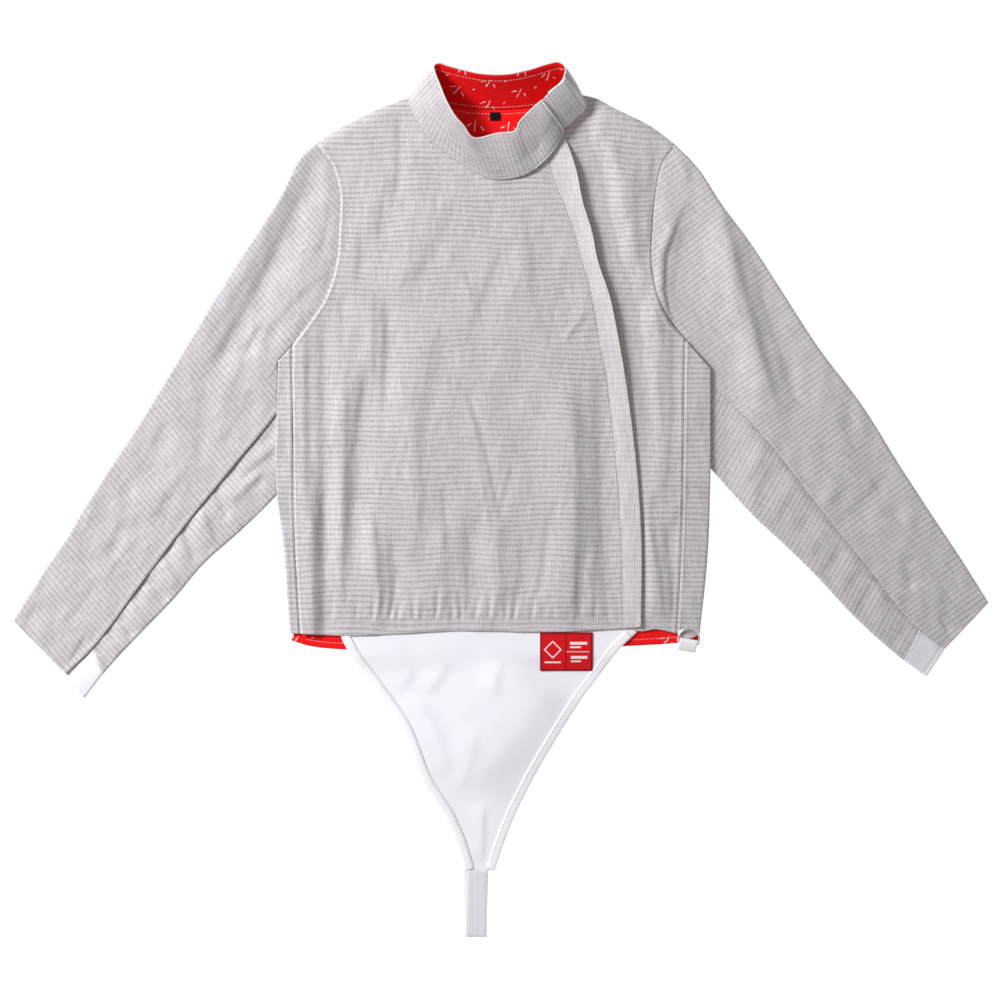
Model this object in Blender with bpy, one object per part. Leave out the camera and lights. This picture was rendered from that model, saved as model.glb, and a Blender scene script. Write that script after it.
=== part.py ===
"""A fencing lame, the conductive jacket of an electric sabre, laid flat on its back with its arms spread.

X runs from sleeve to sleeve, Y towards the collar, Z up from the surface that the jacket lies on.
Sizes in the constants and tables are millimetres in that frame. Pieces ending in _l lie at -X, in _r at +X.
"""

import math

import bpy
import numpy as np

MM = 0.001

# Cloth thicknesses and the gap between sewn pieces
LAME_WALL = 1.3
FLAP_WALL = 1.6
LINING_WALL = 1.0
ELASTIC_WALL = 1.2
BIB_WALL = 1.8
SEAM_GAP = 0.3
SEAM_SHARE = 0.0006

# Heights of the flattened garment above the surface
FRONT_HEIGHT = 6.8
FLAP_HEIGHT = 7.4
UNDER_FLAP_HEIGHT = 5.3
SIDE_FRONT_RISE = 1.6
SIDE_PANEL_HEIGHT = 6.6
SIDE_RISE_SHARE = 0.3
HEM_HEIGHT_L = 5.6
HEM_HEIGHT_R = 5.2
SHOULDER_EDGE_HEIGHT = 3.2
SHOULDER_ROLL = 13.0
TUCK_HEIGHT = 3.6
TUCK_LIFT = 4.0
TUCK_MARGIN = 13.0
TUCK_SLOPE = 0.4
TUCK_SHOWS = 0.3

# Outline of the shoulders and the neck, from the -X side to the +X side
SHOULDER_L = [(-202.9, 393.8), (-177.6, 410.3), (-157.8, 420.2), (-135.1, 431.2), (-110.5, 441.1), (-97.3, 446.9)]
FRONT_NECK = [(-97.3, 446.9), (-95.1, 433.4), (-83.0, 408.1), (-64.3, 389.4), (-41.2, 371.3), (-18.1, 358.6),
              (-2.7, 355.3), (20.4, 358.6), (36.0, 367.0), (50.0, 381.0)]
BACK_NECK = [(-97.3, 446.9), (-70.0, 436.5), (-45.0, 432.0), (-18.0, 429.5), (8.0, 429.5), (33.0, 431.5),
             (62.0, 437.0), (86.1, 447.7)]
UNDER_NECK = [(60.0, 392.0), (70.0, 409.0), (80.0, 425.0), (84.5, 440.0), (86.1, 447.7)]
SHOULDER_R = [(86.1, 447.7), (105.1, 443.3), (123.8, 433.4), (144.7, 423.5), (165.6, 412.5), (192.0, 392.7)]

# Armholes from the side seam up to the shoulder
ARMHOLE_L = [(-229.3, 171.0), (-210.6, 195.8), (-194.1, 221.1), (-180.5, 262.0), (-177.4, 299.2), (-177.6, 345.0),
             (-185.3, 369.6), (-202.9, 393.8)]
ARMHOLE_R = [(202.9, 178.0), (187.0, 195.8), (176.6, 216.0), (167.3, 255.0), (167.8, 300.0), (171.0, 336.0),
             (178.5, 371.0), (192.0, 392.7)]

# Side seams and side folds from the hem up to the armhole
SIDE_SEAM_L = [(-220.1, -146.0), (-226.1, -43.0), (-229.3, 171.0)]
SIDE_FOLD_L = [(-232.3, -146.0), (-240.3, -43.0), (-245.8, 1.0), (-244.7, 154.0)]
SIDE_SEAM_R = [(194.1, -146.0), (197.5, -87.0), (202.9, 178.0)]
SIDE_FOLD_R = [(219.5, -146.0), (228.3, -59.0), (231.2, 36.0), (231.2, 145.2)]

# The flap: its stitched line and its free edge, from the hem up
FLAP_STITCH = [(135.0, -140.5), (132.5, -30.0), (126.0, 67.0), (109.0, 177.0), (100.2, 226.0), (90.5, 265.0),
               (81.0, 297.0), (71.3, 325.0), (60.6, 353.0), (50.0, 381.0)]
FLAP_EDGE = [(154.9, -138.6), (154.9, -30.0), (146.9, 67.0), (130.4, 177.0), (120.2, 226.0), (107.1, 265.0),
             (100.7, 297.0), (91.9, 325.0), (82.4, 368.5), (69.4, 402.2)]
FLAP_OVERLAP = 13.0

# Hems from the -X side to the +X side
FRONT_HEM = [(-216.5, -146.3), (-180.0, -148.2), (-44.5, -143.0), (65.5, -144.1), (135.0, -140.5)]
UNDER_HEM = [(141.9, -141.5), (160.9, -143.0), (177.7, -142.2), (194.1, -146.0)]
BACK_HEM = [(-230.4, -154.0), (-211.7, -159.5), (-197.4, -161.7), (-167.3, -163.9), (-5.0, -165.0),
            (135.7, -160.1), (192.0, -156.8), (220.0, -154.0)]

# Soft folds of the front: low end, high end, width of the fold, and its height (a trough is negative)
FRONT_FOLDS = [
    (-199, -137, -203, 5, 9, -2.6),
    (-184, -108, -184, 141, 9, 1.8),
    (-165, -100, -162, 140, 11, -1.8),
    (-150, -110, -151, 130, 9, 1.2),
    (-131, 111, -131, 199, 11, -1.2),
    (-46, -110, -46, -7, 9, -1.5),
    (-1, -35, 0, 81, 11, -1.3),
    (60, -110, 57, 111, 13, 1.6),
    (93, -125, 107, 110, 9, -2.4),
    (66, 210, 92, 184, 7, 1.1),
    (-120, 240, -60, 330, 22, 1.0),
    (-95, 60, -70, 200, 16, 0.9),
    (40, 180, 20, 320, 20, 0.8),
]
SIDE_FOLDS = [
    (176, -128, 175, -35, 8, -1.4),
    (160, 37, 157, 279, 9, 1.2),
    (190, 37, 191, 175, 7, -1.0),
    (120, 330, 140, 400, 14, 0.8),
]

# Gathers above the front hem: where each trough stands, how high it runs, how deep it is, and its lean
GATHERS = [
    (-158.9, 22, 1.2, 0), (-140.2, 34, 1.5, 1), (-131.5, 26, 1.2, 0), (-121.5, 42, 1.6, 7), (-112.7, 20, 1.1, 0),
    (-95.1, 30, 1.5, -1), (-85.2, 18, 1.1, 0), (-69.7, 36, 1.4, 2), (-52.7, 26, 1.3, 0), (-41.5, 38, 1.7, -1),
    (-27.3, 22, 1.2, 0), (-12.6, 34, 1.5, 1), (6.1, 24, 1.3, 0), (14.9, 34, 1.4, 2), (34.7, 28, 1.3, 0),
    (47.5, 20, 1.1, 1), (57.8, 30, 1.4, 0),
]
GATHER_FOOT = -127.0
GATHER_WIDTH = 3.6

# Sleeve at -X: outer edge, front seam and lower edge, each from the shoulder end to the cuff
OUTER_EDGE_L = [(-202.9, 393.8), (-216.6, 383.4), (-241.9, 338.8), (-298.0, 251.9), (-354.1, 159.5),
                (-393.4, 94.6), (-416.4, 59.4), (-451.8, 5.5), (-472.0, -28.6), (-505.7, -80.2), (-537.1, -130.9)]
FRONT_SEAM_L = [(-231.0, 118.0), (-245.2, 98.3), (-294.5, 37.7), (-348.5, -28.5), (-395.7, -91.3),
                (-450.8, -163.4), (-478.2, -190.3)]
LOWER_EDGE_L = [(-231.0, 24.0), (-245.2, 7.4), (-285.6, -32.8), (-326.2, -69.0), (-359.6, -108.2),
                (-393.3, -143.0), (-435.0, -187.9), (-457.9, -217.4)]
SLEEVE_FOLDS_L = [
    (-228, 360, -331, 160, 13, -2.4),
    (-256, 330, -352, 140, 9, 1.4),
    (-205, 240, -331, 111, 9, -1.5),
    (-455, -29, -419, -57, 10, -1.6),
    (-300, 120, -240, 190, 12, 1.5),
    (-380, 10, -340, 60, 12, 1.2),
    (-280, 45, -262, 28, 6, -1.2),
    (-330, -20, -312, -38, 6, -1.2),
    (-372, -76, -356, -92, 6, -1.1),
    (-410, -122, -394, -134, 6, -1.1),
]

# Sleeve at +X
OUTER_EDGE_R = [(192.0, 392.7), (214.4, 370.3), (243.9, 326.2), (275.4, 284.1), (307.0, 235.7), (349.0, 170.6),
                (399.5, 103.4), (441.7, 35.9), (478.0, -19.8), (511.7, -70.7), (537.1, -111.5)]
FRONT_SEAM_R = [(215.0, 143.0), (231.1, 128.7), (264.6, 97.9), (292.8, 66.8), (354.7, -11.8), (402.1, -70.7),
                (463.2, -143.0), (488.9, -162.3)]
LOWER_EDGE_R = [(215.0, 54.0), (231.1, 35.9), (276.0, -14.6), (318.1, -53.9), (349.0, -84.7), (388.3, -126.8),
                (442.7, -174.9), (468.1, -193.6)]
SLEEVE_FOLDS_R = [
    (190, 309, 181, 244, 9, -1.8),
    (181, 244, 208, 180, 9, -1.6),
    (249, 273, 249, 169, 15, 2.4),
    (300, 229, 300, 111, 13, -1.8),
    (432, 37, 366, -29, 10, -1.8),
    (340, 60, 300, 20, 12, 1.2),
    (262, 60, 276, 44, 6, -1.2),
    (312, 8, 326, -10, 6, -1.2),
    (368, -58, 384, -74, 6, -1.2),
    (420, -118, 432, -132, 6, -1.0),
]

# Height of a sleeve along its length: share of the length, height
SLEEVE_HEIGHTS = [(0.0, 6.6), (0.12, 7.2), (0.5, 7.4), (0.85, 6.8), (1.0, 5.8)]
SLEEVE_ROWS = [0.0, 0.03, 0.065, 0.11, 0.17, 0.24, 0.32, 0.41, 0.5, 0.6, 0.7, 0.79]
UNDER_END_L = 0.895
UNDER_END_R = 0.915

# The collar at stations round the neck, from its front end at +X over the front, -X and back to its hidden end:
# rim x, y, height and base x, y, height
COLLAR = [
    (44.6, 438.9, 33.0, 67.0, 408.1, 9.8),
    (32.5, 427.9, 30.0, 56.2, 388.3, 9.3),
    (20.5, 415.5, 26.0, 44.5, 375.0, 9.0),
    (16.5, 406.5, 23.0, 32.0, 364.5, 8.7),
    (-2.7, 403.7, 22.5, 12.0, 356.8, 8.4),
    (-28.7, 398.2, 24.5, -13.0, 356.8, 8.4),
    (-40.1, 411.4, 29.5, -41.2, 371.3, 8.4),
    (-50.3, 423.5, 33.0, -64.3, 389.4, 8.4),
    (-59.9, 441.1, 35.5, -83.0, 408.1, 8.4),
    (-66.5, 457.6, 36.5, -95.1, 430.4, 8.4),
    (-70.6, 468.5, 37.0, -98.6, 440.5, 7.8),
    (-71.6, 475.0, 37.0, -97.0, 447.5, 6.6),
    (-67.0, 478.0, 36.5, -89.0, 447.0, 4.6),
    (-57.5, 475.6, 36.0, -76.0, 441.6, 3.2),
    (-42.6, 471.6, 35.5, -50.0, 435.6, 2.4),
    (-18.1, 466.6, 35.0, -19.5, 432.0, 2.4),
    (9.8, 466.6, 35.0, 8.0, 432.0, 2.4),
    (33.1, 471.6, 35.5, 34.0, 434.2, 2.4),
    (52.0, 477.6, 36.5, 60.0, 439.4, 2.8),
    (64.0, 479.0, 37.0, 77.0, 446.6, 4.2),
    (69.6, 474.0, 37.0, 88.0, 446.0, 6.4),
    (67.8, 461.5, 35.0, 91.0, 432.5, 8.4),
    (52.0, 447.0, 31.8, 74.5, 415.0, 8.6),
]
TAB_START = (45.4, 439.5, 31.6, 67.8, 408.9, 8.4)
TAB_END_SHARE = 0.9
COLLAR_LEVELS = (0.0, 0.33, 0.67, 1.0)
COLLAR_BULGE = 1.6

# The crotch bib, from under the front hem down to the loop
BIB_TOP = [(-178.0, -139.0), (-90.0, -137.6), (20.0, -137.6), (100.0, -138.0), (138.0, -139.0), (150.5, -143.8)]
BIB_EDGE_L = [(-178.0, -139.0), (-175.4, -148.5), (-167.7, -163.9), (-140.0, -203.0), (-110.5, -245.3),
              (-83.6, -310.2), (-58.4, -350.9), (-39.2, -403.4), (-38.4, -406.6)]
BIB_EDGE_R = [(150.5, -143.8), (133.0, -160.0), (112.0, -187.0), (91.6, -214.0), (64.4, -256.3), (33.2, -310.2),
              (13.3, -350.9), (-1.8, -391.6), (-6.8, -406.6)]
BIB_LEVEL = 2.9
BIB_DROP_START = -167.0
BIB_DROP_END = -192.0
BIB_FOLDS = [(92, -212, -18, -372, 15, 2.2), (-100, -215, -60, -300, 16, 1.2)]
BIB_ROWS = (-150.5, -158.0, -167.0, -172.0, -179.0, -186.5, -192.0, -214.0, -245.0, -280.0, -310.0, -351.0,
            -385.0, -406.6)
BINDING_WIDTH = 9.0

LOOP_WIDTH = 22.0
LOOP_LENGTH = 73.0
LOOP_X = -27.0
LOOP_TOP_Y = -407.0
LOOP_SHIFT = 3.3

LABEL_X = (44.0, 101.0)
LABEL_Y = (-186.5, -145.0)
SIZE_TAG_X = (-18.1, -0.5)
SIZE_TAG_Y = (418.8, 427.6)

# The D-ring and the fabric loop that holds its bar
RING_BAR = (206.3, -156.5, 5.8)
RING_TURN = -10.0
RING_TILT = 7.0
RING_WIRE = 2.5
RING_HALF_WIDTH = 11.75
RING_HEIGHT = 16.5
RING_CORNER = 3.0
TAB_LOOP_WIDTH = 20.0
TAB_LOOP_WALL = 0.9
TAB_LOOP_BORE = 1.9
TAB_LOOP_LENGTH = 13.0

LAME = (0.60, 0.56, 0.60)
RED = (0.80, 0.01, 0.01)
WHITE = (0.88, 0.87, 0.90)
BLACK = (0.01, 0.01, 0.01)
CHROME = (0.80, 0.80, 0.82)


def finish(name, colour, roughness, metallic):
    """A Principled material in the piece's own name."""
    material = bpy.data.materials.new(name)
    material.use_nodes = True
    shader = material.node_tree.nodes["Principled BSDF"]
    shader.inputs["Base Color"].default_value = (*colour, 1.0)
    shader.inputs["Roughness"].default_value = roughness
    shader.inputs["Metallic"].default_value = metallic
    return material


def add_object(name, points, faces, material, origin=(0.0, 0.0, 0.0)):
    """A closed mesh from points in millimetres, with its faces turned outwards."""
    points = np.array(points, float) - np.array(origin)
    volume = 0.0
    for a, b, c in faces:
        volume += np.dot(points[a], np.cross(points[b], points[c]))
    if volume < 0.0:
        faces = [face[::-1] for face in faces]
    mesh = bpy.data.meshes.new(name)
    mesh.from_pydata((points * MM).tolist(), [], faces)
    mesh.materials.append(material)
    mesh.shade_smooth()
    mesh.set_sharp_from_angle(angle=math.radians(50.0))
    piece = bpy.data.objects.new(name, mesh)
    piece.location = np.array(origin) * MM
    bpy.context.scene.collection.objects.link(piece)
    return piece


def add_wall(name, outer, inner, material):
    """A cloth wall between two grids of points with the same rows and columns."""
    rows, columns = outer.shape[:2]
    count = rows * columns
    faces = []

    def strip(a, b, c, d):
        faces.append((a, b, c))
        faces.append((a, c, d))

    for r in range(rows - 1):
        for c in range(columns - 1):
            a = r * columns + c
            strip(a, a + 1, a + columns + 1, a + columns)
            faces.append((count + a, count + a + columns + 1, count + a + 1))
            faces.append((count + a, count + a + columns, count + a + columns + 1))
    for c in range(columns - 1):
        last = (rows - 1) * columns + c
        strip(c, count + c, count + c + 1, c + 1)
        strip(last, last + 1, count + last + 1, count + last)
    for r in range(rows - 1):
        a = r * columns
        b = a + columns - 1
        strip(a, a + columns, count + a + columns, count + a)
        strip(b, count + b, count + b + columns, b + columns)
    points = np.concatenate([outer.reshape(-1, 3), inner.reshape(-1, 3)])
    return add_object(name, points, faces, material)


def shares(line):
    """The share of a line's length at each of its points."""
    steps = np.hypot(*np.diff(np.array(line, float), axis=0).T)
    total = np.concatenate([[0.0], np.cumsum(steps)])
    return total / total[-1]


def along(line, share):
    """Points at the given shares of a line's length."""
    line = np.array(line, float)
    own = shares(line)
    return np.stack([np.interp(share, own, line[:, 0]), np.interp(share, own, line[:, 1])], axis=-1)


def at_y(line, y):
    """Points where a line, which runs upwards or downwards all the way, has the given Y."""
    line = np.array(line, float)
    order = np.argsort(line[:, 1])
    y = np.clip(y, line[:, 1].min(), line[:, 1].max())
    return np.stack([np.interp(y, line[order, 1], line[order, 0]), y], axis=-1)


def at_x(line, x):
    """Points where a line, which runs from -X to +X all the way, has the given X."""
    line = np.array(line, float)
    return np.stack([x, np.interp(x, line[:, 0], line[:, 1])], axis=-1)


def panel_plan(left, right, bottom, top):
    """A grid of plan points that fills the space between four edges."""
    v = (0.5 * (shares(left) + shares(right)))[:, None, None]
    u = (0.5 * (shares(bottom) + shares(top)))[None, :, None]
    left, right, bottom, top = (np.array(edge, float) for edge in (left, right, bottom, top))
    corners = ((1 - u) * (1 - v) * bottom[0] + u * (1 - v) * bottom[-1]
               + (1 - u) * v * top[0] + u * v * top[-1])
    return ((1 - u) * left[:, None] + u * right[:, None]
            + (1 - v) * bottom[None] + v * top[None] - corners)


def pull_in(plan, left=True, right=True, bottom=True, top=True):
    """Half a seam gap taken off the named edges of a grid."""
    plan = plan.copy()
    step = 0.6 * SEAM_GAP

    def pull(edge, inside):
        away = inside - edge
        return edge + away * step / np.linalg.norm(away, axis=-1, keepdims=True)

    if left:
        plan[:, 0] = pull(plan[:, 0], plan[:, 1])
    if right:
        plan[:, -1] = pull(plan[:, -1], plan[:, -2])
    if bottom:
        plan[0] = pull(plan[0], plan[1])
    if top:
        plan[-1] = pull(plan[-1], plan[-2])
    return plan


def relief(folds, plan):
    """The height that the folds add at plan points."""
    height = np.zeros(plan.shape[:-1])
    for x0, y0, x1, y1, width, depth in folds:
        start = np.array((x0, y0), float)
        run = np.array((x1, y1), float) - start
        share = np.clip(((plan - start) @ run) / (run @ run), 0.0, 1.0)
        away = plan - (start + share[..., None] * run)
        height += depth * np.exp(-np.sum(away ** 2, axis=-1) / width ** 2)
    return height


def gather_folds():
    """The gathers as folds that rise from the stitched line above the hem."""
    return [(x, GATHER_FOOT, x + lean, GATHER_FOOT + height, GATHER_WIDTH, -depth)
            for x, height, depth, lean in GATHERS]


def smooth(value):
    """A soft step from 0 to 1."""
    value = np.clip(value, 0.0, 1.0)
    return value * value * (3.0 - 2.0 * value)


def distance_to(line, plan):
    """The distance from plan points to a line."""
    nearest = np.full(plan.shape[:-1], 1e9)
    for start, end in zip(np.array(line[:-1], float), np.array(line[1:], float)):
        run = end - start
        share = np.clip(((plan - start) @ run) / (run @ run), 0.0, 1.0)
        nearest = np.minimum(nearest, np.linalg.norm(plan - (start + share[..., None] * run), axis=-1))
    return nearest


def raised(plan, height):
    """Plan points at a height."""
    return np.concatenate([plan, np.broadcast_to(height, plan.shape[:-1])[..., None]], axis=-1)


def wall_from_top(name, plan, top, thickness, material):
    """A wall whose upper face has the given heights."""
    return add_wall(name, raised(plan, top), raised(plan, top - thickness), material)


def shoulder_roll(height, plan, shoulder):
    """Heights that fall to the folded edge along the shoulder."""
    near = np.clip(distance_to(shoulder, plan) / SHOULDER_ROLL, 0.0, 1.0)
    return SHOULDER_EDGE_HEIGHT + (height - SHOULDER_EDGE_HEIGHT) * (1.0 - (1.0 - near) ** 2)


def front_height(plan):
    """The upper face of the wide front, a little higher beside the flap."""
    beside = smooth(1.0 - distance_to(FLAP_STITCH, plan) / 30.0)
    height = FRONT_HEIGHT + (FLAP_HEIGHT - FRONT_HEIGHT) * beside
    return height + relief(FRONT_FOLDS + gather_folds(), plan)


def side_height(plan):
    """The upper face of the narrow front, low under the flap and at the hem."""
    clear = smooth((plan[..., 0] - at_y(FLAP_EDGE, plan[..., 1])[..., 0] - 1.0) / 18.0)
    rise = smooth((plan[..., 1] + 150.0) / 70.0)
    return UNDER_FLAP_HEIGHT + clear * (rise * SIDE_FRONT_RISE + relief(SIDE_FOLDS, plan))


def make_front(lame):
    """The wide front, whose columns stand on the gathers and between them."""
    troughs = [row[0] for row in GATHERS]
    ridges = [0.5 * (a + b) for a, b in zip(troughs[:-1], troughs[1:])]
    hem_x = sorted([FRONT_HEM[0][0], -207.0, -199.0, -191.0, -182.0, -173.0, -165.0, 67.0, 78.0, 89.0, 98.0, 109.0,
                    122.0, FRONT_HEM[-1][0]] + troughs + ridges)
    share = (np.array(hem_x) - hem_x[0]) / (hem_x[-1] - hem_x[0])
    bottom = at_x(FRONT_HEM, np.array(hem_x))
    crown = SHOULDER_L + FRONT_NECK[1:]
    top = at_x(crown, crown[0][0] + share * (crown[-1][0] - crown[0][0]))
    seam_y = (-133.0, -124.0, -112.0, -96.0, -74.0, -43.0, 5.0, 55.0, 95.0, 133.0)
    extra = along(ARMHOLE_L[-2:], 0.7)
    left = [bottom[0], *at_y(SIDE_SEAM_L, np.array(seam_y)), *ARMHOLE_L[:-1], extra, ARMHOLE_L[-1]]
    stitch_y = (-128.0, -119.5, -108.0, -93.0, -72.0, -42.0, 0.0, 47.0, 86.0, 124.0, 158.0, 190.0, 218.0, 252.0,
                282.0, 312.0, 338.0, 362.0)
    right = [bottom[-1], *at_y(FLAP_STITCH, np.array(stitch_y)), FLAP_STITCH[-1]]
    plan = pull_in(panel_plan(left, right, bottom, top), bottom=False, top=False)
    height = shoulder_roll(front_height(plan), plan, SHOULDER_L)
    wall_from_top("front_panel", plan, height, LAME_WALL, lame)


def make_flap(lame):
    """The flap strip from the stitched line to the free edge."""
    share = np.linspace(0.0, 1.0, 18)
    left = along(FLAP_STITCH, share)
    right = along(FLAP_EDGE, share)
    across = np.array([0.0, 0.5, 1.0])[:, None]
    bottom = left[0] + across * (right[0] - left[0])
    top = left[-1] + across * (right[-1] - left[-1])
    plan = pull_in(panel_plan(left, right, bottom, top), right=False, bottom=False, top=False)
    beside = relief([row for row in FRONT_FOLDS if row[0] > 85.0], plan)
    wall_from_top("placket", plan, FLAP_HEIGHT + 0.15 * beside, FLAP_WALL, lame)


def make_side_front(lame):
    """The narrow front, which runs on under the flap."""
    edge_y = (-128.0, -117.0, -104.0, -87.0, -60.0, -22.0, 18.0, 58.0, 98.0, 134.0, 165.0, 190.0, 217.0, 252.0,
              290.0, 318.0, 344.0, 372.0)
    hidden = at_y(FLAP_EDGE, np.array(edge_y)) - (FLAP_OVERLAP, 0.0)
    seam_y = (-131.0, -120.0, -106.0, -87.0, -60.0, -20.0, 22.0, 64.0, 104.0, 142.0)
    extra = along(ARMHOLE_R[-2:], 0.6)
    right = [SIDE_SEAM_R[0], *at_y(SIDE_SEAM_R, np.array(seam_y)), *ARMHOLE_R[:-1], extra, ARMHOLE_R[-1]]
    left = [UNDER_HEM[0], *hidden, UNDER_NECK[0]]
    crown = UNDER_NECK + SHOULDER_R[1:]
    share = np.array([0.0, 0.1, 0.198, 0.3, 0.42, 0.55, 0.7, 0.85, 1.0])
    bottom = at_x(UNDER_HEM, UNDER_HEM[0][0] + share * (UNDER_HEM[-1][0] - UNDER_HEM[0][0]))
    top = at_x(crown, crown[0][0] + share * (crown[-1][0] - crown[0][0]))
    plan = pull_in(panel_plan(left, right[:len(left)], bottom, top), left=False, bottom=False, top=False)
    height = shoulder_roll(side_height(plan), plan, SHOULDER_R)
    wall_from_top("side_front", plan, height, LAME_WALL, lame)


def tuck_lift(plan):
    """How far the back and the side panels ride up over the tucked tops of the sleeves."""
    x, y = plan[..., 0], plan[..., 1]
    span_l = smooth((y + 22.0) / 25.0) * smooth((197.0 - y) / 25.0)
    span_r = smooth((y - 2.0) / 25.0) * smooth((204.0 - y) / 25.0)
    lift_l = span_l * smooth((-202.0 - x) / 26.0)
    lift_r = span_r * smooth((x - 176.0) / 26.0)
    return TUCK_LIFT * (lift_l + lift_r)


def make_back(lame):
    """The back panel, which lies on the surface and reaches past the front hem."""
    notch_l = [BACK_HEM[0], (-230.6, -147.4), (-220.0, -146.8)]
    notch_r = [BACK_HEM[-1], (219.8, -147.4), (194.3, -146.8)]
    left = notch_l + [tuple(p) for p in at_y(SIDE_SEAM_L, np.array((-90.0, -43.0, -22.0, 3.0, 90.0)))] + ARMHOLE_L
    right = notch_r + [tuple(p) for p in at_y(SIDE_SEAM_R, np.array((-87.0, -40.0, 2.0, 27.0, 110.0)))] + ARMHOLE_R
    share = np.array([0.0, 0.03, 0.065, 0.14, 0.267, 0.36, 0.47, 0.53, 0.63, 0.732, 0.85, 0.93, 0.965, 1.0])
    crown = SHOULDER_L + BACK_NECK[1:] + SHOULDER_R[1:]
    bottom = at_x(BACK_HEM, BACK_HEM[0][0] + share * (BACK_HEM[-1][0] - BACK_HEM[0][0]))
    top = at_x(crown, crown[0][0] + share * (crown[-1][0] - crown[0][0]))
    plan = pull_in(panel_plan(left, right, bottom, top), bottom=False, top=False)
    wall_from_top("back_panel", plan, tuck_lift(plan) + LAME_WALL, LAME_WALL, lame)


def folded_panel(name, fold, seam, root, end, rows, top_shares, bottom_shares, top_of, bottom_of, wall, material):
    """A panel that runs from a seam on top round a side fold to the seam below, as two layers laid flat.

    fold and seam are plan lines with the same rows. root and end give the plan points of the first and the last
    row at shares of their length. top_of and bottom_of give the heights of the upper and the lower face.
    """
    rows = np.array(rows)
    fold = along(fold, rows)
    seam = along(seam, rows)
    root_line = np.array(root, float)
    end_line = np.array(end, float)

    def plan_at(r, share):
        v = rows[r]
        corners = ((1 - v) * ((1 - share) * root_line[0] + share * root_line[-1])
                   + v * ((1 - share) * end_line[0] + share * end_line[-1]))
        return ((1 - share) * fold[r] + share * seam[r]
                + (1 - v) * along(root_line, share) + v * along(end_line, share) - corners)

    angles = np.radians((-45.0, 0.0, 45.0))
    outer = []
    inner = []
    for r in range(len(rows)):
        length = np.linalg.norm(seam[r] - fold[r])
        if rows[r] < 0.02:
            length = np.sum(np.linalg.norm(np.diff(root_line, axis=0), axis=-1))
        near = plan_at(r, 4.0 / length)
        high = float(top_of(near, rows[r]))
        low = float(bottom_of(near))
        radius = 0.5 * (high - low)
        middle = 0.5 * (high + low)
        last = 1.0 - 0.6 * SEAM_GAP / length
        first = radius / length
        top_row = [first] + [min(share, last) for share in top_shares]
        bottom_row = [first] + [min(share, last) for share in bottom_shares]
        outer_row = []
        inner_row = []
        for share in reversed(bottom_row):
            point = plan_at(r, share)
            z = float(bottom_of(point))
            outer_row.append((*point, z))
            inner_row.append((*point, z + wall))
        for angle in angles:
            out = plan_at(r, radius * (1.0 - math.cos(angle)) / length)
            into = plan_at(r, (radius - (radius - wall) * math.cos(angle)) / length)
            outer_row.append((*out, middle + radius * math.sin(angle)))
            inner_row.append((*into, middle + (radius - wall) * math.sin(angle)))
        for share in top_row:
            point = plan_at(r, share)
            z = float(top_of(point, rows[r]))
            outer_row.append((*point, z))
            inner_row.append((*point, z - wall))
        outer.append(outer_row)
        inner.append(inner_row)
    add_wall(name, np.array(outer), np.array(inner), material)


def make_side_panel(name, fold, seam, hem_height, material):
    """A side panel: its seams run at one plan line above and below, and its fold is the body's side."""
    def top_of(point, v):
        rise = (SIDE_PANEL_HEIGHT - hem_height) * float(smooth(v / SIDE_RISE_SHARE))
        return hem_height + rise + TUCK_SHOWS * float(tuck_lift(point))

    rows = np.sort([0.0, 0.12, 0.24, 0.37, 0.42, 0.46, 0.51, 0.56, 0.6, 0.72, 0.86, 0.997, *shares(seam)[1:-1]])
    root = [fold[0], seam[0]]
    end = [fold[-1], seam[-1]]
    folded_panel(name, fold, seam, root, end, rows, (0.6, 1.0), (0.6, 1.0), top_of, tuck_lift, LAME_WALL, material)


def sleeve_top(side, folds):
    """The height of a sleeve's upper face, which sinks where the body's side lies over it."""
    shares_along, heights = zip(*SLEEVE_HEIGHTS)
    cover = SIDE_FOLD_L + ARMHOLE_L[:1] if side < 0 else SIDE_FOLD_R + ARMHOLE_R[:1]

    def top_of(point, v):
        height = float(np.interp(v, shares_along, heights)) + float(relief(folds, point))
        covered = point[1] < cover[-1][1] and side * (point[0] - at_y(cover, point[1])[0]) < 0.0
        outside = 0.0 if covered else float(distance_to(cover, point))
        return min(height, TUCK_HEIGHT + TUCK_SLOPE * max(0.0, outside - TUCK_MARGIN))

    return top_of


def on_surface(point):
    """The height of what lies flat on the surface."""
    return 0.0


def make_sleeve(tag, side, outer_edge, front_seam, lower_edge, armhole, folds, under_end, lame, elastic):
    """The two panels of a sleeve and the elastic at its cuff, as one flattened tube."""
    top_of = sleeve_top(side, folds)
    root = armhole[::-1] + [(front_seam[0][0], 0.5 * (armhole[0][1] + front_seam[0][1])), front_seam[0]]
    root_shares = list(shares(root)[1:])
    cuff = [outer_edge[-1], front_seam[-1]]
    clear = SEAM_SHARE
    upper_rows = [clear] + SLEEVE_ROWS[1:] + [under_end, 1.0]
    folded_panel("sleeve_upper_" + tag, outer_edge, front_seam, root, cuff, upper_rows, root_shares, root_shares,
                 top_of, on_surface, LAME_WALL, lame)
    under_root = [lower_edge[0], front_seam[0]]
    under_cuff = [lower_edge[-1], front_seam[-1]]
    under_rows = [clear] + SLEEVE_ROWS[1:] + [under_end - clear]
    folded_panel("sleeve_under_" + tag, lower_edge, front_seam, under_root, under_cuff, under_rows,
                 (0.35, 0.7, 1.0), (0.6, 1.0), top_of, on_surface, LAME_WALL, lame)
    folded_panel("cuff_elastic_" + tag, lower_edge, front_seam, under_root, under_cuff,
                 (under_end + clear, 0.5 * (1.0 + under_end), 1.0), (0.35, 0.7, 1.0), (0.6, 1.0),
                 top_of, on_surface, ELASTIC_WALL, elastic)


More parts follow.
